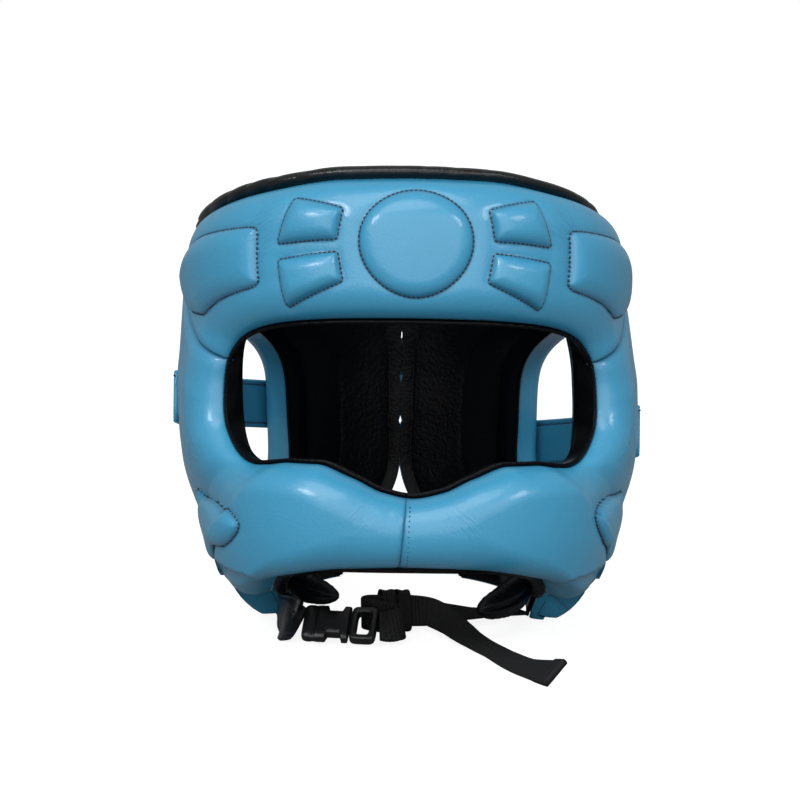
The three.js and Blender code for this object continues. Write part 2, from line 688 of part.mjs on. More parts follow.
add('strap_tab', strapTab(), BLACK);
add('chin_strap', webbing(LOOP_ROUTE, -PLY), WEB);
add('strap_tail', webbing([...LOOP_ROUTE.slice(0, KEPT_ROWS), ...TAIL_ROUTE], PLY), WEB);
KEEPER.spans.forEach((span, i) => add(`strap_keeper_${i + 1}`, keeperBand(span), WEB));

const buckle = new THREE.Group();
buckle.position.set(...BUCKLE.at);
buckle.rotation.order = 'ZXY';
buckle.rotation.x = THREE.MathUtils.degToRad(BUCKLE.tiltDeg);
buckle.rotation.z = THREE.MathUtils.degToRad(BUCKLE.yawDeg);
guard.add(buckle);
add('buckle_socket', buckleSocket(), PLASTIC, buckle);
add('buckle_plug', bucklePlug(), PLASTIC, buckle);

export default guard;
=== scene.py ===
# %% [markdown]
# # A padded head guard with a face bar
#
# The real guard is soft blue leather over foam, sewn into one shell that goes round the head: a
# brow band, two cheeks that meet in a bar before the nose and mouth, and two back panels that are
# laced together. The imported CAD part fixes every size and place. The surfaces here follow the same
# tables as its solids, with many more points, so that seams, folds and rolled edges can show.

import bmesh
import bpy
import numpy as np
from mathutils import Matrix


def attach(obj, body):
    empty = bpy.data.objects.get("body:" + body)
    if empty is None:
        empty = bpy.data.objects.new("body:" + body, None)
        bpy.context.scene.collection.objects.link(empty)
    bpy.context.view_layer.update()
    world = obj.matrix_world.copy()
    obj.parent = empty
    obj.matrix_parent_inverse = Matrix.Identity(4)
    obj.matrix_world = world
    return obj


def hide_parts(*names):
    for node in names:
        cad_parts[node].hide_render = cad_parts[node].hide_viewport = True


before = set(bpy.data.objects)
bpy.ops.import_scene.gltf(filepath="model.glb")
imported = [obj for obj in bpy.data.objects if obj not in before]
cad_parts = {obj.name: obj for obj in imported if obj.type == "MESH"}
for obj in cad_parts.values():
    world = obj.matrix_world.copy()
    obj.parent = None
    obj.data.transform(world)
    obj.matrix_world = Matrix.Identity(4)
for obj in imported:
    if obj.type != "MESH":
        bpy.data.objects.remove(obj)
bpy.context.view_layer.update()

# %% [markdown]
# ## Camera
#
# A camera could be moved by eye until the picture looks right. Here the photograph's own
# perspective was worked out from the guard's known size, so the numbers below place the camera
# once and for all. Shapes are worked out in millimetres round the head's axis, and become metres
# in the row frame at the end.

# %% Camera and units
MM = 0.001
UP = np.array([0.0, 0.0, 1.0])
SIDES = {"left": -1, "right": 1}
HEAD_AXIS_Y = 21.5
VIEW = {"target": (-3, 0, 105), "distance": 1150, "lens": 102.4, "sensor": 36}
VIEW_TURNS = {"azimuth": -1.5, "elevation": 7.0, "roll": 1.0}


def metres(points):
    """Millimetres round the head's axis to metres in the row frame, which is shifted along Y."""
    return (np.asarray(points, float) + (0, HEAD_AXIS_Y, 0)) * MM


def unit(vectors):
    """Vectors divided by their own lengths."""
    return vectors / np.linalg.norm(vectors, axis=-1, keepdims=True)


def together(*parts):
    """Numbers and arrays of different shapes as one array, whose last axis counts them."""
    return np.stack(np.broadcast_arrays(*parts), -1)


def put(obj, axes, spot):
    """Puts a camera or a lamp at a spot, with its own axes as the columns of its turn."""
    turned = np.eye(4)
    turned[:3, :3], turned[:3, 3] = np.stack(axes, 1), spot
    obj.matrix_world = Matrix(turned.tolist())
    bpy.context.scene.collection.objects.link(obj)


azimuth, elevation, roll = np.radians(list(VIEW_TURNS.values()))
level_way = np.array([np.sin(azimuth), -np.cos(azimuth), 0])
towards = level_way * np.cos(elevation) + UP * np.sin(elevation)
level = unit(np.cross(UP, towards))
upright = np.cross(towards, level)
camera = bpy.data.objects.new("camera", bpy.data.cameras.new("camera"))
camera.data.lens, camera.data.sensor_width = VIEW["lens"], VIEW["sensor"]
eye = metres(np.array(VIEW["target"]) + VIEW["distance"] * towards)
put(camera, [level * np.cos(roll) + upright * np.sin(roll),
             upright * np.cos(roll) - level * np.sin(roll), towards], eye)
bpy.context.scene.camera = camera
print("camera at", eye.round(3))

# %% [markdown]
# ## The head inside the guard
#
# Every shell follows the head. A head has no simple formula, so a short table gives its half
# width, its reach to the front and back and how square its plan is, height by height, and a curve
# that never overshoots joins the rows. A place on the guard is then an angle round the head, a
# height, and an offset straight out from the skin.

# %% Tables and the head
SQUARE_BLEND = 0.25
BACK_SQUARENESS = 2.0
PROBE = 0.05
LEAN = {"slope": 0.04, "about": 115}


def blend(first, last, share):
    """Value a share of the way from the first to the last."""
    return first + (last - first) * share


def smooth(xs, ys):
    """Cubic through points without overshoot: each slope is the harmonic mean of its two chords."""
    step = np.diff(xs)
    chord = np.diff(ys) / step
    before, after = chord[:-1], chord[1:]
    near, far = 2 * step[1:] + step[:-1], step[1:] + 2 * step[:-1]
    turns = before * after <= 0
    mean = (near + far) / (near / np.where(turns, 1, before) + far / np.where(turns, 1, after))
    slope = np.concatenate([chord[:1], np.where(turns, 0, mean), chord[-1:]])

    def curve(x):
        i = np.clip(np.searchsorted(xs, x) - 1, 0, len(step) - 1)
        t = (x - xs[i]) / step[i]
        start = (1 + 2 * t) * ys[i] + t * step[i] * slope[i]
        end = (3 - 2 * t) * ys[i + 1] - (1 - t) * step[i] * slope[i + 1]
        return (1 - t) ** 2 * start + t * t * end

    return curve


def table(names, rows):
    """A short table as one smooth curve for each named column, over its first column."""
    columns = np.array(rows, float).T
    named = zip(names.split()[1:], columns[1:])
    return {name: smooth(columns[0], column) for name, column in named}


HEAD = table("z half front back squareness", [
    [-10, 54, 84, 74, 2.4], [10, 61, 98, 84, 2.5], [35, 69.5, 110, 92, 2.7],
    [60, 77.5, 114, 97, 2.8], [85, 82, 112, 99, 2.8], [110, 83, 107, 100, 2.7],
    [150, 83, 98, 99, 2.6], [190, 84, 93, 97, 2.5], [230, 82, 86, 92, 2.4]])


def head_point(deg, z):
    """Superellipse at each height: shares of front and side reach, each to a power, sum to one.
    The sides lean to the left with height."""
    forward, side = np.cos(np.radians(deg)), np.sin(np.radians(deg))
    t = np.clip((forward + SQUARE_BLEND) / (2 * SQUARE_BLEND), 0, 1)
    power = blend(BACK_SQUARENESS, HEAD["squareness"](z), t * t * (3 - 2 * t))
    reach = np.where(forward > 0, HEAD["front"](z), HEAD["back"](z))
    total = (np.abs(forward) / reach) ** power + (np.abs(side) / HEAD["half"](z)) ** power
    radius = total ** (-1 / power)
    lean = LEAN["slope"] * (z - LEAN["about"]) * side ** 2
    return together(radius * side - lean, -radius * forward, z)


def outward(deg, z):
    """Unit normal of the head: the cross product of a small step round it and one up it."""
    along = head_point(deg + PROBE, z) - head_point(deg - PROBE, z)
    up = head_point(deg, z + PROBE) - head_point(deg, z - PROBE)
    return unit(np.cross(along, up))


def grounded(points):
    """Points kept on or above the floor, so that soft edges flatten where they rest."""
    return np.concatenate([points[..., :2], np.maximum(points[..., 2:], 0)], -1)


def wall(deg, z, offset):
    """The head's point at an angle and a height, moved out along its normal."""
    deg, z, offset = np.broadcast_arrays(*np.atleast_1d(deg, z, offset))
    return grounded(head_point(deg, z) + outward(deg, z) * offset[..., None])


print("head is", round(2 * float(HEAD["half"](110.0))), "mm wide inside the guard at the ears")

# %% [markdown]
# ## The mask round the eye opening
#
# Brow, cheeks and face bar form a ring round the eye opening. It is cut into sections, from the
# brow's middle (row 0) round to the chin's (row 18). Each section runs from the eye edge (share 0)
# to the outer edge (share 1), and its padding swells from a thin lip to a full crown. A negative
# row is the same section on the left side.

# %% Mask sections
MASK = table("row eyeDeg eyeZ edgeDeg edgeZ crown eyeLip edgeLip shoulder slant", [
    [-1, -14, 153.5, -19, 215, 29, 15, 12, 20, 1], [0, 0, 154, 0, 216, 29, 15, 12, 20, 1],
    [1, 14, 153.5, 19, 215, 29, 15, 12, 20, 1], [2, 27, 151.5, 39, 209, 28, 15, 12, 20, 2],
    [3, 37.5, 147, 60, 199, 26, 15, 14, 20, 6], [4, 44.5, 139.5, 82, 187, 24.5, 15, 15, 20, 13],
    [5, 47.3, 131, 101.6, 181, 26.5, 16, 15, 20, 20],
    [6, 48, 121.5, 101.6, 143, 29.5, 16, 16, 20, 26],
    [7, 47.5, 111, 86, 120, 31, 16, 16, 20, 28], [8, 46, 102.5, 83, 98, 31, 16, 16, 20, 26],
    [9, 43, 96, 86, 76, 30.5, 16, 16, 22, 21], [10, 39.4, 90.5, 101.6, 37, 28.5, 16, 14, 30, 12],
    [11, 36, 87.2, 101.6, 1.5, 25, 16, 7, 45, 5], [12, 33, 86.3, 80, 1.5, 25.5, 16, 7, 45, 2],
    [13, 29.5, 86.8, 63, 1.5, 28, 16, 10, 40, 1], [14, 25, 88, 54, 21, 31, 16, 13, 26, 1],
    [15, 19.5, 88, 41, 25, 33, 16, 13, 22, 1], [16, 12.5, 83, 26, 42.5, 34, 16, 13, 20, 1],
    [17, 6.5, 77, 13, 47, 33, 16, 13, 20, 1], [18, 0, 74.5, 0, 47.5, 32, 16, 13, 20, 1],
    [19, -6.5, 77, -13, 47, 33, 16, 13, 20, 1]])
EYE_SHOULDER = 17
WIDEST_SHOULDER = 0.5
MID_WALL = 15
LINING = 2.0
GAP = 0.3
PAD_GAP = 0.4
PAD_INSIDE = LINING + PAD_GAP


def quarter(share):
    """Quarter ellipse, from 0 at a sewn edge to 1 at the end of its shoulder."""
    return np.sqrt(1 - (1 - np.clip(share, 0, 1)) ** 2)


def mask_section(rows):
    """The table's columns for each row, with angles on the row's own side, and its length."""
    rows = np.atleast_1d(np.asarray(rows, float))[:, None]
    at = {name: curve(np.abs(rows)) for name, curve in MASK.items()}
    side = np.where(rows < 0, -1, 1)
    at["eyeDeg"], at["edgeDeg"] = at["eyeDeg"] * side, at["edgeDeg"] * side
    ends = wall(at["eyeDeg"], at["eyeZ"], MID_WALL) - wall(at["edgeDeg"], at["edgeZ"], MID_WALL)
    at["length"] = np.linalg.norm(ends, axis=-1)
    return at


def mask_offset(at, share):
    """Thickness of the padding: the lesser of two quarter ellipses, from each lip to the crown."""
    def swell(lip, shoulder, away):
        reach = np.minimum(shoulder / at["length"], WIDEST_SHOULDER)
        return blend(at[lip], at["crown"], quarter(away / reach))

    from_edge = swell("edgeLip", at["shoulder"], 1 - share)
    return np.minimum(swell("eyeLip", EYE_SHOULDER, share), from_edge)


def mask_spot(at, share):
    """Angle and height at a share of the way from the eye edge to the outer edge."""
    return blend(at["eyeDeg"], at["edgeDeg"], share), blend(at["eyeZ"], at["edgeZ"], share)


def mask_point(at, share, offset):
    """Point of a section at a share and an offset from the head."""
    return wall(*mask_spot(at, share), offset)


print("face bar is", round(float(mask_section(18)["length"][0, 0])), "mm deep at the chin")

# %% [markdown]
# ## From grids to meshes
#
# Blender could grow each shell from boxes with modifiers, but then its size would be hard to hold.
# A grid of points is exact: numpy works out all of them at once, and the quads between them are an
# index pattern. Rings of points close round a body. A strip of triangles shuts each end, or the
# last ring joins the first, as on a torus.

# %% Grid meshes
MERGE = 1e-6


def quads(rows, columns, torus=False):
    """Corner numbers of the quads between rings; a torus joins its last ring to its first."""
    number = np.arange(rows * columns).reshape(rows, columns)
    number = np.concatenate([number, number[:, :1]], 1)
    if torus:
        number = np.concatenate([number, number[:1]])
    corners = [number[:-1, :-1], number[:-1, 1:], number[1:, 1:], number[1:, :-1]]
    return np.stack(corners, -1).reshape(-1, 4)


def volume(points, faces):
    """Six times the signed volume under the faces, which is positive where they look outwards."""
    a, b, c, d = (points[faces[:, i]] for i in range(4))
    return np.sum(a * np.cross(b, c)) + np.sum(a * np.cross(c, d))


def piece(name, points, faces, ends=(), attributes=None):
    """Smooth mesh object from points in millimetres, quads and closing faces, with attributes."""
    points = metres(points)
    ends = np.reshape(ends, (-1, 3)).astype(int)
    if volume(points - points.mean(0), faces) < 0:
        faces, ends = faces[:, ::-1], ends[:, ::-1]
    mesh = bpy.data.meshes.new(name)
    mesh.from_pydata(points.tolist(), [], faces.tolist() + ends.tolist())
    for key, values in (attributes or {}).items():
        kind, field = ("FLOAT", "value") if values.ndim == 1 else ("FLOAT_VECTOR", "vector")
        stored = mesh.attributes.new(key, kind, "POINT").data
        stored.foreach_set(field, values.astype(np.float32).ravel())
    merged = bmesh.new()
    merged.from_mesh(mesh)
    bmesh.ops.remove_doubles(merged, verts=merged.verts, dist=MERGE)
    merged.to_mesh(mesh)
    merged.free()
    mesh.polygons.foreach_set("use_smooth", np.ones(len(mesh.polygons), bool))
    obj = bpy.data.objects.new(name, mesh)
    bpy.context.scene.collection.objects.link(obj)
    print(name, len(mesh.polygons), "faces")
    return obj


def cap(columns, turn):
    """Strip of triangles between a ring's way out and its way back, in steps along both."""
    out, back = np.arange(turn), np.arange(columns - 1, turn - 1, -1)
    when = np.concatenate([np.linspace(0, 1, len(out))[1:], np.linspace(0, 1, len(back))[1:]])
    outgoing = np.argsort(when, kind="stable") < len(out) - 1
    i, j = np.cumsum(outgoing) - outgoing, np.cumsum(~outgoing) - ~outgoing
    next_out, next_back = np.minimum(i + 1, len(out) - 1), np.minimum(j + 1, len(back) - 1)
    return np.stack([out[i], np.where(outgoing, out[next_out], back[next_back]), back[j]], 1)


def ring_body(name, rings, attributes=None, turn=None, torus=False):
    """Closed body through rings of points: quads between rings, and a strip across each end."""
    rows, columns = rings.shape[:2]
    ends = ()
    if not torus:
        strip = cap(columns, turn or columns // 2)
        ends = np.concatenate([strip[:, ::-1], strip + (rows - 1) * columns])
    flat = {key: values.reshape(rows * columns, *values.shape[2:])
            for key, values in (attributes or {}).items()}
    return piece(name, rings.reshape(-1, 3), quads(rows, columns, torus), ends, flat)


def dress(obj, material, nodes=()):
    """Gives a piece its material and a place under the root body, and hides the CAD parts that it
    stands for.
    """
    obj.data.materials.append(material)
    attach(obj, "root")
    if nodes:
        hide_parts(*nodes)


# %% [markdown]
# ## Shader arithmetic
#
# A material here is a sum of patterns. Written as nodes it would be a long list of links, so one
# small class wraps a node's output: Python's own signs add Math nodes, and one method adds any
# other node.

# %% Shader values
class Shade:
    """One output of a shader tree. Signs between two of them, or with a number, add a Math node."""

    def __init__(self, tree, socket=None):
        self.tree, self.socket = tree, socket

    def node(self, kind, settings=None, inputs=None, out=0):
        """Adds a node: settings first, then its sockets' values or links. Returns one output."""
        made = self.tree.nodes.new(kind)
        for key, value in (settings or {}).items():
            setattr(made, key, value)
        for key, value in (inputs or {}).items():
            if isinstance(value, Shade):
                self.tree.links.new(value.socket, made.inputs[key])
            else:
                made.inputs[key].default_value = value
        return Shade(self.tree, made.outputs[out] if made.outputs else None)

    def math(self, operation, first, second=0.0):
        return self.node("ShaderNodeMath", {"operation": operation}, {0: first, 1: second})

    def __add__(self, other):
        return self.math("ADD", self, other)

    def __sub__(self, other):
        return self.math("SUBTRACT", self, other)

    def __rsub__(self, other):
        return self.math("SUBTRACT", other, self)

    def __mul__(self, other):
        return self.math("MULTIPLY", self, other)

    __radd__ = __add__

    def mix(self, low, high):
        """Colour between two colours, by this value."""
        return self.node("ShaderNodeMix", {"data_type": "RGBA"}, {0: self, 6: low, 7: high}, 2)

    def tint(self, colour, low, high):
        """Colour between two shares of one colour, by this value."""
        return self.mix(dyed(colour, low), dyed(colour, high))

    def shift(self, least, change):
        """This value times a change, above a least value."""
        return least + self * change

    def stretch(self, scale):
        """This vector with each axis multiplied by its own number."""
        return self.node("ShaderNodeVectorMath", {"operation": "MULTIPLY"}, {0: self, 1: scale})

    def noise(self, scale, detail=3.0):
        """Soft noise over this vector, about 0.5."""
        inputs = {"Vector": self, "Scale": scale, "Detail": detail}
        return self.node("ShaderNodeTexNoise", None, inputs)

    def cells(self, scale):
        """Distance to the nearest of many scattered points over this vector."""
        return self.node("ShaderNodeTexVoronoi", None, {"Vector": self, "Scale": scale})


def material(name):
    """New material, its empty tree, and its place on the object as a vector."""
    made = bpy.data.materials.new(name)
    made.use_nodes = True
    made.node_tree.nodes.clear()
    tree = Shade(made.node_tree)
    return made, tree, tree.node("ShaderNodeTexCoord", None, None, "Object")


def attribute(tree, name, out="Fac"):
    """Values that a piece stores at its points."""
    return tree.node("ShaderNodeAttribute", {"attribute_name": name}, None, out)


def surface(tree, colour, roughness, height, distance, **constant):
    """Joins colour, roughness and a bump height to the surface shader and the output."""
    relief = {"Height": height, "Distance": distance, "Strength": 1.0}
    bump = tree.node("ShaderNodeBump", None, relief)
    inputs = {"Base Color": colour, "Roughness": roughness, "Normal": bump}
    inputs.update({key.replace("_", " "): value for key, value in constant.items()})
    shader = tree.node("ShaderNodeBsdfPrincipled", None, inputs)
    tree.node("ShaderNodeOutputMaterial", None, {"Surface": shader})


def dyed(colour, share=1.0):
    """A colour made darker or lighter by a share, with full cover."""
    return tuple(share * part for part in colour) + (1,)


# %% [markdown]
# ## Leather, lining, webbing and plastic
#
# The blue leather is smooth and satin: a fine pebbled grain, slow changes of colour, painted shade
# in the stitched grooves, and creases near seams that catch the light. The creases need a direction,
# so each point stores where it lies in its own patch of creases, and the noise is drawn out along
# them. A piece that stores no groove shade or patch has none. Scales count patterns in a metre.

# %% Blue leather
# groove is the colour of the painted shade in stitched grooves, at seams and along folds
BLUE = {"low": (0.027, 0.226, 0.388), "high": (0.040, 0.266, 0.448),
        "groove": (0.006, 0.042, 0.092)}
BLUE_SCALES = {"cloud": 28.0, "grain": 900.0, "pebble": 260.0, "polish": 90.0}
BLUE_RELIEF = {"grain": 0.15, "pebble": 0.16, "crease": 0.8, "distance": 0.00045}
BLUE_CLOUD, BLUE_POLISH = (0.25, 0.5), (0.35, 0.10)
# share of the painted groove shade in the colour, and the grooves' extra roughness
GROOVE_SHADE, GROOVE_ROUGH = 0.55, 0.2
NOISE_MEAN = 0.5
BLACK_SCALES = {"rubbed": 45.0, "wave": 0.25, "polish": 130.0}
BLACK_TONES = (0.75, 1.3)
BLACK_RELIEF = {"grain": 0.35, "wave": 0.5}
BLACK_POLISH = (-0.06, 0.14)
CREASE_DRAW, CREASE_SHARP = (0.42, 0.055, 1.0), 6.0


def blue_leather(name):
    """Satin leather: grain from scattered cells, creases from drawn out noise, painted shade in
    grooves.
    """
    made, tree, place = material(name)
    groove, worn = attribute(tree, "groove"), attribute(tree, "worn")
    cloud, grain, pebble, polish = BLUE_SCALES.values()
    tone = place.noise(cloud).shift(*BLUE_CLOUD).mix(dyed(BLUE["low"]), dyed(BLUE["high"]))
    # painted shade: the colour darkens towards the groove colour where a piece stores groove shade
    colour = (groove * GROOVE_SHADE).mix(tone, dyed(BLUE["groove"]))
    creases = attribute(tree, "patch", "Vector").stretch(CREASE_DRAW).noise(1.0, 2.0)
    slope = tree.math("ABSOLUTE", creases - NOISE_MEAN)
    sharp = tree.math("MAXIMUM", 1 - slope * CREASE_SHARP, 0.0)
    height = place.cells(grain) * BLUE_RELIEF["grain"] + place.noise(pebble) * BLUE_RELIEF["pebble"]
    height = height - sharp * worn * BLUE_RELIEF["crease"]
    rough = place.noise(polish).shift(*BLUE_POLISH) + groove * GROOVE_ROUGH
    surface(tree, colour, rough, height, BLUE_RELIEF["distance"], Coat_Weight=0.32,
            Coat_Roughness=0.15)
    return made


def dark_leather(name, colour, roughness, gloss, grain, depth):
    """Black leather: pebbled grain and slow waves, a little lighter where it is rubbed."""
    made, tree, place = material(name)
    rubbed, wave, polish = BLACK_SCALES.values()
    tone = place.noise(rubbed).tint(colour, *BLACK_TONES)
    height = place.cells(grain) * BLACK_RELIEF["grain"]
    height = height + place.noise(grain * wave) * BLACK_RELIEF["wave"]
    rough = place.noise(polish).shift(roughness + BLACK_POLISH[0], BLACK_POLISH[1])
    surface(tree, tone, rough, height, depth, Specular_IOR_Level=gloss)
    return made


blue = blue_leather("blue_leather")
lining_black = dark_leather("lining_leather", colour=(0.0009, 0.0012, 0.0019), roughness=0.30,
                            gloss=0.09, grain=500.0, depth=0.00025)
rim_black = dark_leather("rim_leather", colour=(0.0026, 0.0032, 0.0042), roughness=0.30,
                         gloss=0.40, grain=620.0, depth=0.00035)
flap_black = dark_leather("flap_leather", colour=(0.0024, 0.0030, 0.0042), roughness=0.42,
                          gloss=0.22, grain=560.0, depth=0.00040)
print("leathers:", [m.name for m in (blue, lining_black, rim_black, flap_black)])


# %% Webbing, thread and plastic
WEAVE = {"fuzz": 1.3, "relief": (0.5, 0.35, 0.4), "tone": (0.3, 0.7), "tones": (0.6, 1.6),
         "rough": (0.72, 0.16), "gloss": 0.35}
MOULD = {"scales": (60.0, 240.0, 420.0), "tones": (1.0, 1.5), "rough": (0.32, 0.14),
         "distance": 0.00008}
TWINE = {"scale": 2600.0, "tones": (0.4, 2.2), "rough": (0.5, 0.2), "distance": 0.00010}


def woven(name, colour, along, across, depth):
    """Woven strip: ribs across it and finer threads along it, from its own length and width."""
    made, tree, _ = material(name)
    weave = attribute(tree, "weave", "Vector")
    length, width = (tree.node("ShaderNodeSeparateXYZ", None, {0: weave}, axis) for axis in "XY")
    ribs, threads = tree.math("SINE", length * along), tree.math("SINE", width * across)
    fuzz = weave.noise(WEAVE["fuzz"])
    rib, crossing, hair = WEAVE["relief"]
    height = ribs * rib + ribs * threads * crossing + fuzz * hair
    tone = (ribs * WEAVE["tone"][0] + fuzz * WEAVE["tone"][1]).tint(colour, *WEAVE["tones"])
    rough = fuzz.shift(*WEAVE["rough"])
    surface(tree, tone, rough, height, depth, Specular_IOR_Level=WEAVE["gloss"])
    return made


def moulded(name, colour):
    """Moulded plastic: glossy, with faint waves from the mould and a few rubbed spots."""
    made, tree, place = material(name)
    rubbed, polish, waves = (place.noise(scale) for scale in MOULD["scales"])
    tone, rough = rubbed.tint(colour, *MOULD["tones"]), polish.shift(*MOULD["rough"])
    surface(tree, tone, rough, waves, MOULD["distance"])
    return made


def twisted(name, colour):
    """Sewing thread: two strands twisted together show as slanted light and dark."""
    made, tree, place = material(name)
    strands = place.noise(TWINE["scale"], 1.0)
    tone, rough = strands.tint(colour, *TWINE["tones"]), strands.shift(*TWINE["rough"])
    surface(tree, tone, rough, strands, TWINE["distance"])
    return made


webbing = woven("ribbed_webbing", (0.0026, 0.0027, 0.0032), along=3.3, across=5.2, depth=0.00030)
elastic = woven("elastic_band", (0.0030, 0.0030, 0.0035), along=4.4, across=3.0, depth=0.00025)
plastic = moulded("buckle_plastic", (0.0022, 0.0023, 0.0027))
thread = twisted("dark_thread", (0.007, 0.015, 0.030))
black_thread = twisted("black_thread", (0.003, 0.003, 0.004))
print("fabrics:", [m.name for m in (webbing, elastic, plastic, thread, black_thread)])

# %% [markdown]
# ## Stitched outlines
#
# Foam pads are sewn under the leather, so each shows as a pillow inside a dark line of stitches. A
# pillow could be a mesh of its own, but then its edge would be a gap. Here the skin itself is
# lifted: the distance to the outline, positive inside, gives the shoulder, the groove and the
# puckers at the thread. Distance alone would leave a ridge along the middle, so the fullness comes
# from a film that is blown up over the shape, as a soap film would be.

# %% Pads and their outlines
BROW_DISC = {"centre": (0, 0.525), "half": (0.79, 0.375), "points": 160, "rise": 4.2, "shoulder": 7}
# rise, shoulder, how much of each side its corners take, then corners as rows and shares
PADS = {
    "brow_pad_upper": (4.7, 6, 0.085, [[0.95, 0.77], [1.5, 0.875], [1.78, 0.57], [1.06, 0.56]]),
    "brow_pad_lower": (4.7, 6, 0.085, [[1.07, 0.48], [1.82, 0.46], [1.94, 0.09], [1.05, 0.27]]),
    "temple_pad": (5.2, 9, 0.12, [[1.97, 0.71], [2.9, 0.79], [4.4, 0.78], [4.5, 0.35], [3.95, 0.25],
                                  [2.22, 0.29]]),
}
CHEEK = (5.0, 7, 0.3)
CHEEK_CORNERS = {
    "left": [[10.25, 0.23], [10.9, 0.19], [11.85, 0.18], [13.05, 0.205], [13.9, 0.265],
             [14.4, 0.315], [14.7, 0.36], [14.8, 0.42], [14.75, 0.46], [14.5, 0.50],
             [12.8, 0.48], [11.2, 0.40]],
    "right": [[10.3, 0.22], [10.8, 0.165], [11.6, 0.145], [12.85, 0.175], [13.5, 0.23],
              [13.95, 0.285], [14.15, 0.35], [14.22, 0.42], [14.1, 0.48], [12.8, 0.47],
              [11.2, 0.38]],
}
BEND_STEPS = 20


def circle(count):
    """Angles once round a circle."""
    return np.linspace(0, 2 * np.pi, count, endpoint=False)


def rounded_outline(corners, corner):
    """Closed line of rows and shares: straight sides, and quadratic bends that cut corners off."""
    corners = np.array(corners, float)
    before, after = np.roll(corners, 1, 0), np.roll(corners, -1, 0)
    enter, leave = blend(corners, before, corner), blend(corners, after, corner)
    t = np.linspace(0, 1, BEND_STEPS, endpoint=False)[:, None, None]
    bend = (1 - t) ** 2 * enter + 2 * t * (1 - t) * corners + t ** 2 * leave
    side = blend(leave, blend(after, corners, corner), t)
    return np.concatenate([bend, side]).transpose(1, 0, 2).reshape(-1, 2)


def disc_outline():
    """Ellipse of rows and shares, which is round on the brow."""
    turn = circle(BROW_DISC["points"])
    return BROW_DISC["centre"] + np.stack([np.cos(turn), np.sin(turn)], 1) * BROW_DISC["half"]


def on_mask(track, lift=0.0):
    """Points and normals of the bare skin under a line of rows and shares."""
    at, share = mask_section(track[:, 0]), track[:, 1:2]
    points = mask_point(at, share, mask_offset(at, share) + lift)[:, 0]
    return points, outward(*mask_spot(at, share))[:, 0]


OUTLINES = {"brow_disc": (BROW_DISC["rise"], BROW_DISC["shoulder"], disc_outline())}
for word, side in SIDES.items():
    cheek = {"cheek_pad": (*CHEEK, CHEEK_CORNERS[word])}
    for pad, (rise, shoulder, corner, corners) in {**PADS, **cheek}.items():
        line = rounded_outline(np.array(corners) * (side, 1), corner)
        OUTLINES[f"{pad}_{word}"] = (rise, shoulder, line)
print("stitched outlines:", ", ".join(OUTLINES))

# %% Distance to an outline
def line_distance(points, line, closed=True):
    """Least distance to a line's straight pieces, and how far along it the nearest spot lies."""
    start, end = (line, np.roll(line, -1, 0)) if closed else (line[:-1], line[1:])
    length = np.linalg.norm(end - start, axis=1)
    best, along = np.full(points.shape[:-1], np.inf), np.zeros(points.shape[:-1])
    for a, b, reach, run in zip(start, end, length, np.cumsum(length) - length):
        way = (b - a) / reach
        t = np.clip((points - a) @ way, 0, reach)
        gap = np.linalg.norm(points - a - t[..., None] * way, axis=-1)
        along = np.where(gap < best, run + t, along)
        best = np.minimum(best, gap)
    return best, along


def inside_line(rows, shares, line):
    """True inside a closed line: a ray from the place crosses the line an odd number of times."""
    odd = np.zeros(np.broadcast(rows, shares).shape, bool)
    for (r0, s0), (r1, s1) in zip(line, np.roll(line, -1, 0)):
        if s0 != s1:
            crossed = rows < r0 + (r1 - r0) * (shares - s0) / (s1 - s0)
            odd ^= ((s0 > shares) != (s1 > shares)) & crossed
    return odd


disc_line = on_mask(OUTLINES["brow_disc"][2])[0]
disc_reach = line_distance(disc_line.mean(0)[None], disc_line)[0][0]
print("brow disc is", round(2 * disc_reach), "mm across")

# %% Lift of the skin
GROOVE = {"deep": 0.9, "inside": 1.0, "outside": 2.6}
PUCKER = {"reach": 4.0, "high": 0.07, "waves": (3.1, 4.7, 7.9)}
FILM = {"beyond": 4.0, "steps": 2500, "power": 0.5}


def bell(distance, width):
    """Bell curve: 1 at no distance, and falling with the square of the distance over the width."""
    return np.exp(-(distance / width) ** 2)


def sway(run, size, phase=0.0):
    """Sine wave over a distance: its height and its length come as a pair."""
    return size[0] * np.sin(run / size[1] + phase)


def ripple(along, seed):
    """Sum of three sine waves along a seam, with phases drawn from a fixed seed."""
    phases = np.random.default_rng(seed).uniform(0, 2 * np.pi, 3)
    waves = zip(PUCKER["waves"], phases)
    return sum(np.sin(2 * np.pi * along / wave + phase) for wave, phase in waves) / 3


def film(held, wide, tall):
    """Blown film over a shape: each point moves many times to its neighbours' mean plus a push."""
    along, across = 1 / wide ** 2, 1 / tall ** 2
    height = np.zeros(held.shape)
    for _ in range(FILM["steps"]):
        mean = along * (height[:-2, 1:-1] + height[2:, 1:-1])
        mean = mean + across * (height[1:-1, :-2] + height[1:-1, 2:])
        height[1:-1, 1:-1] = held[1:-1, 1:-1] * (mean + 1) / (2 * (along + across))
    return height / max(height.max(), 1e-9)


def pillow(signed, along, full, rise, shoulder, seed):
    """Quarter ellipse times the film's fullness, less a stitched groove, with fading puckers."""
    away = np.abs(signed)
    width = np.where(signed > 0, GROOVE["inside"], GROOVE["outside"])
    groove = GROOVE["deep"] * np.exp(-away / width)
    swell = rise * quarter(signed / shoulder) * full ** FILM["power"]
    pucker = PUCKER["high"] * np.exp(-away / PUCKER["reach"]) * ripple(along, seed)
    return swell - groove + pucker * (1 - np.exp(-away))


print("grooves are", GROOVE["deep"], "mm deep under the stitches")

# %% [markdown]
# ## Crease patches
#
# Leather that is pulled round a corner creases: at the temples, under the eye corners, beside the
# nose, and at the jaw. Each patch has a place, a size, a direction and a strength. Its wider folds
# move the points, and its fine lines are left to the material, which reads where each point lies
# in the patch.

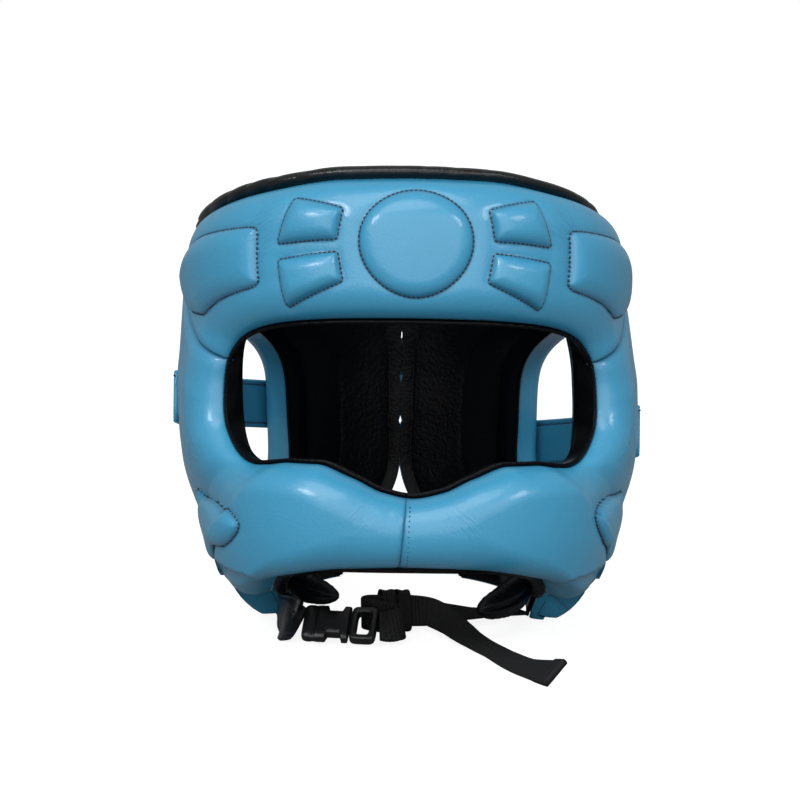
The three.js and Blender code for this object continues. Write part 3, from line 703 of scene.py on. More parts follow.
# %% Crease patches
# row, share, reach in mm, turn in degrees, depth in mm
CREASES = [
    [4.45, 0.30, 15, 20, 0.30], [4.75, 0.62, 13, 10, 0.30], [1.92, 0.76, 11, 80, 0.30],
    [5.5, 0.35, 13, 15, 0.22], [8.9, 0.28, 12, 60, 0.30], [9.7, 0.14, 9, 40, 0.22],
    [16.9, 0.3, 7, 30, 0.12], [13.3, 0.72, 18, 70, 0.35], [11.8, 0.74, 22, 80, 0.45],
    [10.6, 0.5, 14, 30, 0.22], [14.6, 0.8, 11, 30, 0.2], [3.2, 0.9, 11, 90, 0.3],
]
CREASE_SIDE = {-1: 0.8, 1: 1.0}
PATCH_STEPS = ((0, 0), (0.02, 0), (0, 0.01))
FOLDS = {"apart": 5.0, "width": 0.45, "patch_apart": 40}
# size and length in mm of the slow and the quick bends of a fold
SLOW_BEND, QUICK_BEND = (2.2, 7), (0.8, 2.9)
# a fold breaks off along itself: its mean and change of depth, and two lengths in mm
BREAKS = {"mean": 0.55, "change": 0.45, "along": 5.3, "across": 8}


def creases(points, rows, seed):
    """For each point: lift of the folds, place in its strongest patch and that patch's weight."""
    lift, best = np.zeros((2, *points.shape[:-1]))
    patch = np.zeros(points.shape)
    chance = np.random.default_rng(seed)
    for row, share, reach, turn, depth in CREASES:
        for side in SIDES.values():
            phase, warp = chance.uniform(0, 2 * np.pi, 2)
            if not rows.min() <= side * row <= rows.max():
                continue
            spot = np.array([[side * row, share]])
            centre, along, across = (on_mask(spot + step)[0][0] for step in PATCH_STEPS)
            flat_x, flat_y = ((points - centre) @ unit(way - centre) for way in (along, across))
            angle = np.radians(turn * side)
            x = flat_x * np.cos(angle) + flat_y * np.sin(angle)
            y = flat_y * np.cos(angle) - flat_x * np.sin(angle)
            weight = CREASE_SIDE[side] * bell(np.linalg.norm(points - centre, axis=-1), reach)
            bent = x + sway(y, SLOW_BEND, warp) + sway(y, QUICK_BEND, phase)
            wave = np.sin(y / BREAKS["along"] + x / BREAKS["across"] + warp)
            broken = BREAKS["mean"] + BREAKS["change"] * wave
            fold = bell(np.sin(np.pi * bent / FOLDS["apart"] + phase), FOLDS["width"])
            lift -= weight * depth * broken * fold
            stronger = weight > best
            moved = np.stack([x + FOLDS["patch_apart"] * phase, y, np.zeros_like(x)], -1)
            patch[stronger] = moved[stronger]
            best = np.maximum(best, weight)
    return lift, patch, best


print(len(CREASES), "crease patches on each side")

# %% [markdown]
# ## Brow band and cheeks
#
# The brow band overlaps the cheeks at a folded seam beside each eye, and the cheeks meet in a seam
# at the chin. Each is one closed body: its skin, a rounded outer edge, a plain inside against the
# lining, and the eye edge. Under the jaw the leather is drawn in, so the skin past a line sinks
# and leaves a fold.

# %% Skin of the mask
# each seam's dip: its drop and reach in mm, and the strength of the painted shade along it
FOLD = {"drop": 2.6, "reach": 6.0, "dark": 0.8}
TUCK = {"drop": 3.4, "reach": 7.0, "dark": 0.8}
CHIN = {"drop": 1.0, "reach": 5.0, "dark": 0.55}
# widths of the painted shade lines at the stitches, the seams and the jaw's fold
SHADE_WIDTHS = {"stitch": 0.75, "seam": 1.2, "jaw": 1.1}
WINDOW = {"row": 0.9, "share": 0.3}
CALM = {"eye": 0.12, "edge": 0.06}
# rows and shares of the fold under the jaw
JAW_LINE = np.array([
    [10.6, 0.62], [12.5, 0.60], [13.9, 0.60], [14.6, 0.61], [15.05, 0.64], [15.4, 0.70],
    [15.65, 0.80], [15.78, 0.92], [15.85, 1.0]])
# the fold under the jaw also gets a line of painted shade, whose strength is given here
JAW_FOLD = {"sink": 5.0, "reach": 6.0, "fade": 0.8, "spare": 2.0, "dark": 0.8, "points": 60}


def crowded(count):
    """Shares from 0 to 1 that crowd towards both ends, as a cosine does."""
    return (1 - np.cos(np.linspace(0, np.pi, count))) / 2


def spread(span):
    """Even values from a span's start to its end."""
    return np.linspace(span["from"], span["to"], span["points"])


def run_of(points):
    """Distance from the first point, or row of points, along the way to each of the others."""
    steps = np.linalg.norm(np.diff(points, axis=0), axis=-1)
    return np.concatenate([np.zeros_like(steps[:1]), np.cumsum(steps, 0)])


def jaw_fold(points, rows, shares, offset):
    """Sink and painted shade of the fold: past the line the skin drops by a quarter ellipse."""
    place = np.abs(rows)
    start = np.clip((place - JAW_LINE[0, 0]) / JAW_FOLD["fade"], 0, 1)
    past = shares > np.interp(place, *JAW_LINE.T, right=2.0)
    track = np.linspace(0, 1, JAW_FOLD["points"]) * (len(JAW_LINE) - 1)
    knots = np.arange(len(JAW_LINE))
    line = np.stack([np.interp(track, knots, column) for column in JAW_LINE.T], 1)
    gap, _ = line_distance(points, on_mask(line * (np.sign(rows.flat[0]), 1))[0], False)
    sink = JAW_FOLD["sink"] * quarter(gap / JAW_FOLD["reach"])
    sink = np.clip(sink, 0, np.maximum(offset - PAD_INSIDE - JAW_FOLD["spare"], 0))
    # the second value is the painted shade along the fold's line
    return start * past * sink, start * JAW_FOLD["dark"] * bell(gap, SHADE_WIDTHS["jaw"])


def within(values, line, spare):
    """Numbers of the values that lie within a line's reach, or a little beyond it."""
    return np.flatnonzero((values > line.min() - spare) & (values < line.max() + spare))


def mask_skin(rows, shares, seams, seed):
    """Skin over the padding: thickness, pillows inside outlines, dips at the seams, and creases."""
    at = mask_section(rows)
    offset = mask_offset(at, shares)
    base = mask_point(at, shares, offset)
    # groove gathers painted shade along stitches, seams and the jaw's fold; it also roughens
    lift, groove = np.zeros((2, *offset.shape))
    row_grid, share_grid = np.meshgrid(rows, shares, indexing="ij")
    for number, (rise, shoulder, line) in enumerate(OUTLINES.values()):
        near_rows = within(rows, line[:, 0], WINDOW["row"])
        if len(near_rows) == 0:
            continue
        spot = np.ix_(near_rows, within(shares, line[:, 1], WINDOW["share"]))
        gap, along = line_distance(base[spot], on_mask(line)[0])
        signed = np.where(inside_line(row_grid[spot], share_grid[spot], line), gap, -gap)
        wide, tall = (np.linalg.norm(np.diff(base[spot], axis=i), axis=-1).mean() for i in (0, 1))
        full = film(signed > -FILM["beyond"], wide, tall)
        lift[spot] += pillow(signed, along, full, rise, shoulder, number)
        # painted shade along the stitched outline
        groove[spot] = np.maximum(groove[spot], bell(gap, SHADE_WIDTHS["stitch"]))
    for from_end, seam in seams:
        run = run_of(base)
        run = run[-1] - run if from_end else run
        lift -= seam["drop"] * (1 - quarter(run / seam["reach"]))
        # painted shade along the seam
        groove = np.maximum(groove, seam["dark"] * bell(run, SHADE_WIDTHS["seam"]))
    if np.abs(rows).max() > JAW_LINE[-1, 0]:
        # the jaw's fold sinks the skin and adds its painted shade
        sink, dark = jaw_fold(base, row_grid, share_grid, offset)
        lift -= sink
        groove = np.maximum(groove, dark)
    folds, patch, worn = creases(base, rows, seed)
    lift += folds * quarter(share_grid / CALM["eye"]) * quarter((1 - share_grid) / CALM["edge"])
    skin = grounded(base + outward(*mask_spot(at, shares)) * lift[..., None])
    return skin, {"groove": groove, "worn": worn, "patch": patch}


# %% Mask bodies
SKIN_SHARES, INSIDE_SHARES, EDGE_STEPS = 110, 12, 8
BROW_GRID, CHEEK_GRID = 400, 380
EDGE_ROUND = {"full": 2.6, "bar": 1.0, "from_row": 13.0}
BROW_END = 4.97
CHIN_ROWS = {"left": 17.783, "right": 18.213}
BROW_SEED, CHEEK_SEED = 11, 20


def mask_body(name, rows, seams, seed):
    """Rings of skin, rounded outer edge, inside and eye edge, with a strip across both ends."""
    at = mask_section(rows)
    skin, marks = mask_skin(rows, crowded(SKIN_SHARES), seams, seed)
    t = np.linspace(0, 1, EDGE_STEPS)[1:-1]
    bar = np.clip(np.abs(rows[:, None]) - EDGE_ROUND["from_row"], 0, 1)
    bulge = blend(EDGE_ROUND["full"], EDGE_ROUND["bar"], bar)
    beyond = 1 + bulge * np.sin(np.pi * t) / at["length"]
    edge = mask_point(at, beyond, blend(at["edgeLip"], PAD_INSIDE, t))
    start = at["slant"] / at["length"]
    inside = mask_point(at, blend(1, start, np.linspace(0, 1, INSIDE_SHARES)), PAD_INSIDE)
    eye = mask_point(at, start * (1 - t), blend(PAD_INSIDE, at["eyeLip"], t))
    rings = np.concatenate([skin, edge, inside, eye], 1)
    plain = rings.shape[1] - skin.shape[1]
    marks = {key: np.concatenate([values, np.zeros((len(rows), plain) + values.shape[2:])], 1)
             for key, values in marks.items()}
    return ring_body(name, rings, marks, SKIN_SHARES + len(t) // 2)


brow_rows = np.linspace(-BROW_END, BROW_END, BROW_GRID)
brow = mask_body("brow_band", brow_rows, [(False, FOLD), (True, FOLD)], BROW_SEED)
brow_nodes = ["forehead_pad"] + [name for name in OUTLINES if not name.startswith("cheek")]
dress(brow, blue, brow_nodes)
for word, side in SIDES.items():
    cheek_rows = side * np.linspace(10 - BROW_END, CHIN_ROWS[word], CHEEK_GRID)
    cheek = mask_body(f"cheek_{word}", cheek_rows, [(False, TUCK), (True, CHIN)], CHEEK_SEED + side)
    dress(cheek, blue, [f"face_pad_{word}", f"cheek_pad_{word}"])

# %% [markdown]
# ## Back panels
#
# Behind the ears two softer panels go round to the back, where laces draw them together. Their
# front edge is cut back round each ear, and that rounded edge shows through the eye opening. Small
# gaps between the laces let spots of light through.

# %% Back panels
BACK_TOP = table("across z", [
    [0, 181], [0.12, 183.5], [0.35, 193], [0.65, 202], [0.85, 203], [1, 200]])["z"]
BACK = {"front": 101.85, "bottom": 1.5, "crown": 20, "lip": 12, "shoulder": 14, "width": 130,
        "height": 190, "foot": 0.5, "foot_height": 0.35, "round": 3.0, "grid": (90, 120)}
EAR = {"z": 88, "half": 56, "deg": 36}
LACED = {"half": 0.4, "flare_z": 62, "flare_radius": 40, "reach": 98}
# height, half width and half height of each spot of light
LACED_SPOTS = [(127.6, 1.5, 1.2), (106, 0.8, 1.0), (82, 1.2, 1.6)]
WAVES = {"high": 0.5, "across": 9, "slant": 2, "up": 7}
GATHER = {"high": 1.1, "reach": 0.12, "across": 34, "uneven": (3, 9), "from": 0.2}
END_RINGS = 6


def back_spot(across, share):
    """Angle and height: the front edge bulges back round the ear as a fourth power, and the laced
    edge flares below."""
    z = blend(BACK["bottom"], BACK_TOP(across), share)
    bulge = np.maximum(1 - ((z - EAR["z"]) / EAR["half"]) ** 4, 0)
    front = BACK["front"] + EAR["deg"] * bulge
    half = LACED["half"] + np.maximum(LACED["flare_z"] - z, 0) ** 2 / (2 * LACED["flare_radius"])
    half = half + sum(wide * bell(z - middle, tall) for middle, wide, tall in LACED_SPOTS)
    return blend(front, 180 - np.degrees(np.arctan2(half, LACED["reach"])), across), z


def back_offset(across, share):
    """Thickness: a quarter ellipse from the nearest edge's lip, thinner at the foot."""
    from_side = np.minimum(across, 1 - across) * BACK["width"]
    nearest = np.minimum(from_side, np.minimum(share, 1 - share) * BACK["height"])
    full = blend(BACK["lip"], BACK["crown"], quarter(nearest / BACK["shoulder"]))
    return blend(PAD_INSIDE, full, blend(BACK["foot"], 1, quarter(share / BACK["foot_height"])))


def flat_folds(across, share):
    """Slow waves in the leather, and a gather near the bottom edge."""
    uneven = GATHER["uneven"][0] * np.sin(across * GATHER["uneven"][1])
    gather = np.exp(-share / GATHER["reach"]) * np.sin(across * GATHER["across"] + uneven)
    gather = GATHER["high"] * gather
    slow = np.sin(across * WAVES["across"] + WAVES["slant"] * share) * np.sin(share * WAVES["up"])
    return WAVES["high"] * slow + gather * quarter(across / GATHER["from"])


def rounded_ends(centre, rings, bulge):
    """Adds rings at both ends of a body, which close like half a circle: each shrinks to the
    section's middle."""
    turn = np.linspace(0, np.pi / 2, END_RINGS)[1:, None, None]
    first, last = (centre[i] + (rings[i] - centre[i]) * np.cos(turn) + bulge[i] * np.sin(turn)
                   for i in (0, -1))
    return np.concatenate([first[::-1], rings, last])


def back_rings(side):
    """Panel from its lining out: rings of its outside going up and its inside coming down."""
    across, share = crowded(BACK["grid"][0])[:, None], crowded(BACK["grid"][1])[None, :]
    deg, z = back_spot(across, share)
    outside = wall(side * deg, z, back_offset(across, share) + flat_folds(across, share))
    inside = wall(side * deg, z, PAD_INSIDE)
    middle = (outside + inside) / 2
    t = np.linspace(0, 1, EDGE_STEPS)[None, 1:-1]
    edges = []
    for edge, sign, inwards in ((1.0, 1, t), (0.0, -1, 1 - t)):
        deg, z = back_spot(across, np.full((1, 1), edge))
        bulge = sign * BACK["round"] * np.sin(np.pi * t)
        offset = blend(back_offset(across, edge), PAD_INSIDE, inwards)
        edges.append(wall(side * deg, z + bulge, offset))
    rings = np.concatenate([outside, edges[0], inside[:, ::-1], edges[1]], 1)
    top, foot = (np.repeat(middle[:, [i]], t.size, 1) for i in (-1, 0))
    centre = np.concatenate([middle, top, middle[:, ::-1], foot], 1)
    step = [BACK["round"] * unit(middle[i] - middle[j]).mean(0) for i, j in ((0, 1), (-1, -2))]
    return rounded_ends(np.roll(centre, t.size // 2, 1), np.roll(rings, t.size // 2, 1), step)


for word, side in SIDES.items():
    panel = ring_body(f"back_panel_{word}", back_rings(side))
    dress(panel, blue, [f"back_pad_{word}"])

# %% [markdown]
# ## Lining
#
# Thin black leather lines the whole inside. It turns out over the eye edge as a rounded lip, and
# along the bar's lower edge it shows as a black border. At the back it hangs in soft upright folds.

# %% Mask lining
LIP = {"gap": 0.6, "proud": 0.9, "thick": 2.1, "plump": 0.35, "wave": 0.2, "waves": 30}
BORDER = {"from_row": 14.3, "to_row": 15.4, "beyond": 7.5, "share": 0.85,
          "corner": 5.0, "corner_row": 15.4}
LINING_SHARES, ROLL_STEPS, CORNER_STEPS, LINING_GRID = 40, 9, 5, 200


def lining_rings(rows):
    """Section of the lining: inside wall, rolled lip at the eye edge, and border below the bar."""
    at = mask_section(rows)
    length, row = at["length"], np.abs(rows[:, None])
    start = at["slant"] / length
    down = blend(1, start, np.linspace(0, 1, LINING_SHARES)[None, :])
    near, far = -LIP["gap"] / length, -(LIP["gap"] + LIP["thick"]) / length
    turn = np.linspace(0, np.pi, ROLL_STEPS)[None, :]
    plump = 1 + LIP["plump"] * np.sin(turn)
    roll_share = (near + far) / 2 + (near - far) / 2 * np.cos(turn) * plump
    proud = LIP["proud"] + LIP["wave"] * np.sin(LIP["waves"] * row)
    corner = np.linspace(0, np.pi / 2, CORNER_STEPS)[None, :]
    weight = np.clip((row - BORDER["from_row"]) / (BORDER["to_row"] - BORDER["from_row"]), 0, 1)
    beyond = BORDER["beyond"] + BORDER["corner"] * bell(row - BORDER["corner_row"], 1.0)
    thick = blend(LINING, at["edgeLip"] * BORDER["share"], weight)
    columns = [(down, LINING),
               (roll_share, at["eyeLip"] + proud * np.sin(turn)),
               (start + far * np.cos(corner), LIP["thick"] * (1 - np.sin(corner))),
               (down[:, -2::-1], 0),
               (1 + weight * beyond * np.sin(turn) / length, thick * (1 - np.cos(turn)) / 2)]
    return np.concatenate([mask_point(at, share, offset) for share, offset in columns], 1)


lined = {"forehead_lining": brow_rows[::2]}
for word, side in SIDES.items():
    lined[f"face_lining_{word}"] = side * np.linspace(10 - BROW_END, CHIN_ROWS[word], LINING_GRID)
for node, rows in lined.items():
    dress(ring_body(f"lip_{node}", lining_rings(rows)), lining_black, [node])

# %% Back lining
RIDGES = {"across": 11, "uneven": (0.8, 5), "slant": 0.25, "high": 1.6, "power": 0.6, "level": 0.7,
          "fade": 0.1, "inwards": 0.8}
LACED_LINING = {"deg": 0.2, "power": 8}
BACK_LINING_GRID = (140, 60)


def upright_folds(across, share):
    """Soft ridges that run up the panel, spaced unevenly, and fade at its edges."""
    uneven = RIDGES["uneven"][0] * np.sin(across * RIDGES["uneven"][1])
    ridge = np.abs(np.sin(across * RIDGES["across"] + uneven + RIDGES["slant"] * share))
    calm = quarter(across / RIDGES["fade"]) * quarter((1 - across) / RIDGES["fade"])
    return RIDGES["high"] * (ridge ** RIDGES["power"] - RIDGES["level"]) * calm


for word, side in SIDES.items():
    across = crowded(BACK_LINING_GRID[0])[:, None]
    share = np.linspace(0, 1, BACK_LINING_GRID[1])[None, :]
    deg, z = back_spot(across, share)
    deg = side * (deg + LACED_LINING["deg"] * across ** LACED_LINING["power"])
    inner = wall(deg, z, -upright_folds(across, share) * RIDGES["inwards"])
    rings = np.concatenate([wall(deg, z, LINING), inner[:, ::-1]], 1)
    cloth = ring_body(f"back_cloth_{word}", rings)
    dress(cloth, lining_black, [f"back_lining_{word}"])

# %% [markdown]
# ## Rolled rim
#
# The crown's edge is bound with a black leather roll. The leather is pulled round a curve, so it
# twists into slanted creases, tighter and fuller on the left. It is a tube whose radius rises and
# falls with those creases.

# %% Swept tubes
def along_path(points):
    """Unit direction of a path at each of its points, from its neighbours."""
    return unit(np.gradient(points, axis=0))


def sweep(path, side, normal, across, up):
    """Section carried along a path: across goes along its side vectors, up along its normals."""
    moved = path[:, None] + side[:, None] * across[..., None]
    return grounded(moved + normal[:, None] * up[..., None])


def carried(path, sides, across, up):
    """The same sweep from rough side vectors, which are first made square to the path."""
    tangent = along_path(path)
    normal = unit(np.cross(tangent, np.broadcast_to(sides, path.shape)))
    return sweep(path, np.cross(normal, tangent), normal, across, up)


def closed_tube(name, rings, bulge):
    """Tube whose ends close like half a ball: extra rings shrink to the middle and move out."""
    centre = rings.mean(1, keepdims=True)
    step = unit(np.stack([centre[0, 0] - centre[1, 0], centre[-1, 0] - centre[-2, 0]])) * bulge
    rings = rounded_ends(np.broadcast_to(centre, rings.shape), rings, step)
    return ring_body(name, grounded(rings))


# %% Crown rim
RIM = {"half": 7.0, "half_height": 3.4, "offset": 7.0, "clear": 0.6, "end": 1.5, "sides": 40}
FULL_RIM = {"from": 1.6, "to": 3.6, "out": 2.6, "grow": 0.3, "crease": 0.14}
TWIST = {"crease": 0.12, "apart": 5.2, "slant": 1.1, "uneven": (0.8, 13), "power": 0.7,
         "level": 0.6}
RIM_WAVES = {"slow": (23, 41), "thick": (0.05, 31)}
RIM_FRONT = {"row": 4.9, "grid": 420, "seed": 3}
RIM_BACK = {"from": 0.03, "to": 0.985, "points": 220, "seed": 5}


def rim_rings(deg, z, seed, full=0.0):
    """Ellipse carried along the top edge, with slanted creases: sines of distance plus angle."""
    full = np.broadcast_to(full, deg.shape)
    step = head_point(deg + PROBE, z) - head_point(deg, z)
    lift = unit(np.cross(outward(deg, z), step))
    lift = lift * np.where(lift[:, 2:] < 0, -1, 1)
    path = wall(deg, z, RIM["offset"] + FULL_RIM["out"] * full)
    path = path + lift * (RIM["half_height"] + RIM["clear"])
    run, full = run_of(path)[:, None], full[:, None]
    turn = circle(RIM["sides"])[None, :]
    chance = np.random.default_rng(seed).uniform(0, 6, 4)
    first, second = RIM_WAVES["slow"]
    slow = 0.5 + 0.5 * np.sin(run / first + chance[0]) * np.sin(run / second + chance[1])
    uneven = sway(run, TWIST["uneven"], chance[2])
    twist = np.abs(np.sin(run / TWIST["apart"] + TWIST["slant"] * turn + uneven)) ** TWIST["power"]
    size = 1 + (TWIST["crease"] + FULL_RIM["crease"] * full) * slow * (twist - TWIST["level"])
    size = size + sway(run, RIM_WAVES["thick"], chance[3]) + FULL_RIM["grow"] * full
    across, up = RIM["half"] * np.cos(turn) * size, RIM["half_height"] * np.sin(turn) * size
    return carried(path, outward(deg, z), across, up)


rim_rows = np.linspace(-RIM_FRONT["row"], RIM_FRONT["row"], RIM_FRONT["grid"])
at = mask_section(rim_rows)
full = np.clip((-rim_rows - FULL_RIM["from"]) / (FULL_RIM["to"] - FULL_RIM["from"]), 0, 1)
rims = {"front": rim_rings(at["edgeDeg"][:, 0], at["edgeZ"][:, 0], RIM_FRONT["seed"], full)}
deg, z = back_spot(spread(RIM_BACK), 1.0)
for word, side in SIDES.items():
    rims[f"back_{word}"] = rim_rings(side * deg, z, RIM_BACK["seed"] + side)
for word, rings in rims.items():
    rim = closed_tube(f"crown_rim_{word}", rings, RIM["end"])
    dress(rim, rim_black, [f"rim_{word}"])

# %% [markdown]
# ## Ear straps and jaw flaps
#
# A flat blue strap crosses each ear opening, with a row of stitches along both edges. Inside the
# jaw two black padded flaps stand free. They are stuffed, so they are lens-shaped, with a crease
# down the middle and puckered edges.

# %% Ear straps
EAR_STRAP = {"start": 77, "flat": 79, "end": 152, "start_offset": 30.7, "end_offset": 21.2,
             "half": 13, "thick": 2.6, "grid": 110}
EAR_STRAP_Z = {"left": (109, 90), "right": (94, 71)}
# the seam's inset, width and depth in mm, and the strength of the painted shade along it
EAR_SEAM = {"in": 2.6, "width": 0.7, "deep": 0.45, "dark": 0.8}
FLAT_POINTS = 30


def strip_profile(half, thick, count=12):
    """Flat strip's section: two long sides and two half-round edges, as distances across and up."""
    bend = np.linspace(-np.pi / 2, np.pi / 2, count)
    flat = np.linspace(-1, 1, FLAT_POINTS)[1:-1] * (half - thick / 2)
    level = np.full(len(flat), thick / 2)
    edge = half - thick / 2 + thick / 2 * np.cos(bend)
    rise = thick / 2 * np.sin(bend)
    across = np.concatenate([edge, flat[::-1], -edge, flat])
    return across, np.concatenate([rise, level, -rise, -level])


def ear_path(side, heights):
    """Middle of an ear strap: it leaves the cheek's crown, then sinks evenly to the back panel."""
    start, flat, end = (EAR_STRAP[key] for key in ("start", "flat", "end"))
    deg = np.linspace(start, end, EAR_STRAP["grid"])
    fall = np.clip((deg - flat) / (end - flat), 0, 1)
    offset = blend(EAR_STRAP["start_offset"], EAR_STRAP["end_offset"], fall)
    z = blend(*heights, (deg - start) / (end - start))
    return wall(side * deg, z, offset + EAR_STRAP["thick"] / 2)


ear_paths = {word: ear_path(side, EAR_STRAP_Z[word]) for word, side in SIDES.items()}
across, up = strip_profile(EAR_STRAP["half"], EAR_STRAP["thick"])
seam = bell(np.abs(across) - EAR_STRAP["half"] + EAR_SEAM["in"], EAR_SEAM["width"])
up = up - np.sign(up) * EAR_SEAM["deep"] * seam
for word, path in ear_paths.items():
    rings = carried(path, UP, across, up)
    # painted shade along both stitched seams of the strap, stored as groove shade
    groove = np.broadcast_to(EAR_SEAM["dark"] * seam, rings.shape[:2])
    strap = ring_body(f"ear_band_{word}", rings, {"groove": groove})
    dress(strap, blue, [f"ear_strap_{word}"])

# %% Jaw flaps
JAW = {"half": 6.0, "offset": -7.0, "grid": (120, 72), "least": 1e-5}
# angles, heights and half heights at the jaw and at the tip
JAW_FLAPS = {"left": ((70, 22), (19, 18.5), (11, 5.6)), "right": ((70, 23), (17, 11.5), (11, 7))}
FLAP_PUCKER = {"high": 0.10, "edge": 6, "apart": 4.2, "uneven": (2, 6)}
FLAP_CREASE = {"deep": 0.34, "width": 0.16}
FLAP_WAVE = (0.02, 3)


def jaw_flap(side, deg, z, tall):
    """Stuffed tongue: an ellipse that closes at both ends as a fourth power, with a crease."""
    share = crowded(JAW["grid"][0])
    path = wall(side * blend(*deg, share), blend(*z, share), JAW["offset"])
    run = run_of(path)[:, None]
    turn = circle(JAW["grid"][1])[None, :]
    close = (np.clip(1 - np.abs(2 * share - 1) ** 4, JAW["least"], 1) ** 0.5)[:, None]
    edge = np.abs(np.cos(turn)) ** FLAP_PUCKER["edge"]
    uneven = sway(run, FLAP_PUCKER["uneven"])
    pucker = FLAP_PUCKER["high"] * edge * np.sin(run * 2 * np.pi / FLAP_PUCKER["apart"] + uneven)
    crease = 1 - FLAP_CREASE["deep"] * bell(np.cos(turn), FLAP_CREASE["width"])
    wave = 1 + sway(run, FLAP_WAVE)
    across = blend(*tall, share)[:, None] * close * np.cos(turn) * wave
    return carried(path, UP, across, JAW["half"] * close * (np.sin(turn) * crease + pucker))


for word, side in SIDES.items():
    flap = ring_body(f"jaw_tongue_{word}", jaw_flap(side, *JAW_FLAPS[word]))
    dress(flap, flap_black, [f"jaw_flap_{word}"])

# %% [markdown]
# ## Chin strap
#
# A leather tab on the left jaw carries the buckle's socket. Webbing comes from the plug, doubles
# back through two elastic keepers, and goes to the right jaw, while its free end lies forward,
# twists up and ends in a folded hem. Webbing is flat and stiff, so it is carried along a route
# that says where it lies and how far it is tilted.

# %% Routes
WEB = {"half": 7.5, "thick": 1.4, "bend": 7, "steps": 12}
PLY = WEB["thick"] / 2 + GAP
KEPT_ROWS = 11
HEM = {"long": 10.0, "step": 0.8, "thick": 1.2}
# x, y, z, tilt
LOOP_ROUTE = np.array([
    [-13.3, -92.5, 9, 38], [-8.5, -92.6, 9.2, 60], [-3.8, -89.6, 9.6, 78], [-3.8, -84.6, 10.2, 86],
    [-9, -81.6, 10.8, 88], [-15.5, -79.8, 11.4, 88], [-20, -76.6, 11.8, 88], [-18.8, -72.2, 12, 88],
    [-12.5, -69.2, 11.6, 86], [-4.5, -64.8, 10.8, 80], [3.5, -59.6, 9.6, 70], [12, -54.2, 8.2, 45],
    [24, -48, 6.6, 20], [36, -42, 5.2, 6], [48, -35.6, 4.2, 0], [58.5, -30, 3.6, 0]])
TAIL_ROUTE = np.array([
    [11.4, -57.8, 8.4, 52], [18.4, -63.4, 6.2, 30], [24, -73, 4.2, 14], [28.6, -84.5, 2.8, 6],
    [34, -97, 2.0, 2], [42, -115, 1.6, 2], [50, -138, 2.4, 12], [57.5, -155, 4.3, 28],
    [63, -166.5, 5.8, 42]])
# x, y, z, tilt, half width below, half width above
TAB_ROUTE = np.array([
    [-61.2, -49, 8.6, 88, 8, 8], [-60.4, -60, 9.2, 86, 9, 8.5], [-58.8, -71.5, 10, 84, 9.8, 9.8],
    [-57, -80.5, 10.6, 72, 11, 11], [-54.2, -84.6, 9.9, 54, 11.5, 10],
    [-51, -85.6, 9.1, 38, 10, 9]])


def route(rows, places):
    """Centripetal curve through a route's points, with side and normal vectors and spare columns.
    A side vector is level and square to the route, then lifted by the tilt."""
    knots = rows[:, :3]
    knots = np.concatenate([2 * knots[:1] - knots[1:2], knots, 2 * knots[-1:] - knots[-2:-1]])
    span = np.linalg.norm(np.diff(knots, axis=0), axis=1) ** 0.5
    i = np.minimum(places.astype(int), len(rows) - 2)
    t = (places - i)[:, None]
    p0, p1, p2, p3 = (knots[i + k] for k in range(4))
    d0, d1, d2 = (span[i + k][:, None] for k in range(3))
    leave = d1 * ((p1 - p0) / d0 - (p2 - p0) / (d0 + d1) + (p2 - p1) / d1)
    arrive = d1 * ((p2 - p1) / d1 - (p3 - p1) / (d1 + d2) + (p3 - p2) / d2)
    square, cube = 3 * (p2 - p1) - 2 * leave - arrive, 2 * (p1 - p2) + leave + arrive
    points = p1 + leave * t + square * t ** 2 + cube * t ** 3
    tangent = unit(leave + 2 * square * t + 3 * cube * t ** 2)
    extra = blend(rows[i, 3:], rows[i + 1, 3:], t)
    tilt = np.radians(extra[:, :1])
    level = unit(np.cross(UP, tangent))
    normal = unit(np.cross(tangent, level * np.cos(tilt) + UP * np.sin(tilt)))
    return points, np.cross(normal, tangent), normal, extra[:, 1:]


def woven_strip(name, path, side, normal, hem):
    """Webbing: a flat section carried along a path, thicker at the hem, with its weave stored."""
    across, up = strip_profile(WEB["half"], WEB["thick"], WEB["bend"])
    run = run_of(path)[:, None]
    fold = 1 + hem * np.clip((HEM["long"] - (run[-1] - run)) / HEM["step"], 0, 1)
    weave = together(run, across, 0.0)
    print(name, "is", round(run[-1, 0]), "mm long")
    return ring_body(name, sweep(path, side, normal, across, up * fold), {"weave": weave})


tail_rows = np.concatenate([LOOP_ROUTE[:KEPT_ROWS], TAIL_ROUTE])
for name, rows, shift, node, hem in (("chin_webbing", LOOP_ROUTE, -PLY, "chin_strap", 0),
                                     ("free_end", tail_rows, PLY, "strap_tail", HEM["thick"])):
    last = len(rows) - 1
    places = np.linspace(0, last, last * WEB["steps"] + 1)
    path, side, normal, _ = route(rows, places)
    path = path + normal * (shift * np.clip(KEPT_ROWS + 1 - places, 0, 1))[:, None]
    dress(woven_strip(name, path, side, normal, hem), webbing, [node])

# %% Keepers
KEEPER = {"half": 10.0, "depth": 2.6, "wall": 0.9, "spans": [(7.9, 8.75), (8.9, 9.7)],
          "grid": (22, 56), "pinch": 1.2, "flare": 0.5, "square": 0.55, "edge": 6, "weave": 10}


def squared(wave, power):
    """A wave pushed towards a square one: its sign times its size to a power."""
    return np.sign(wave) * np.abs(wave) ** power


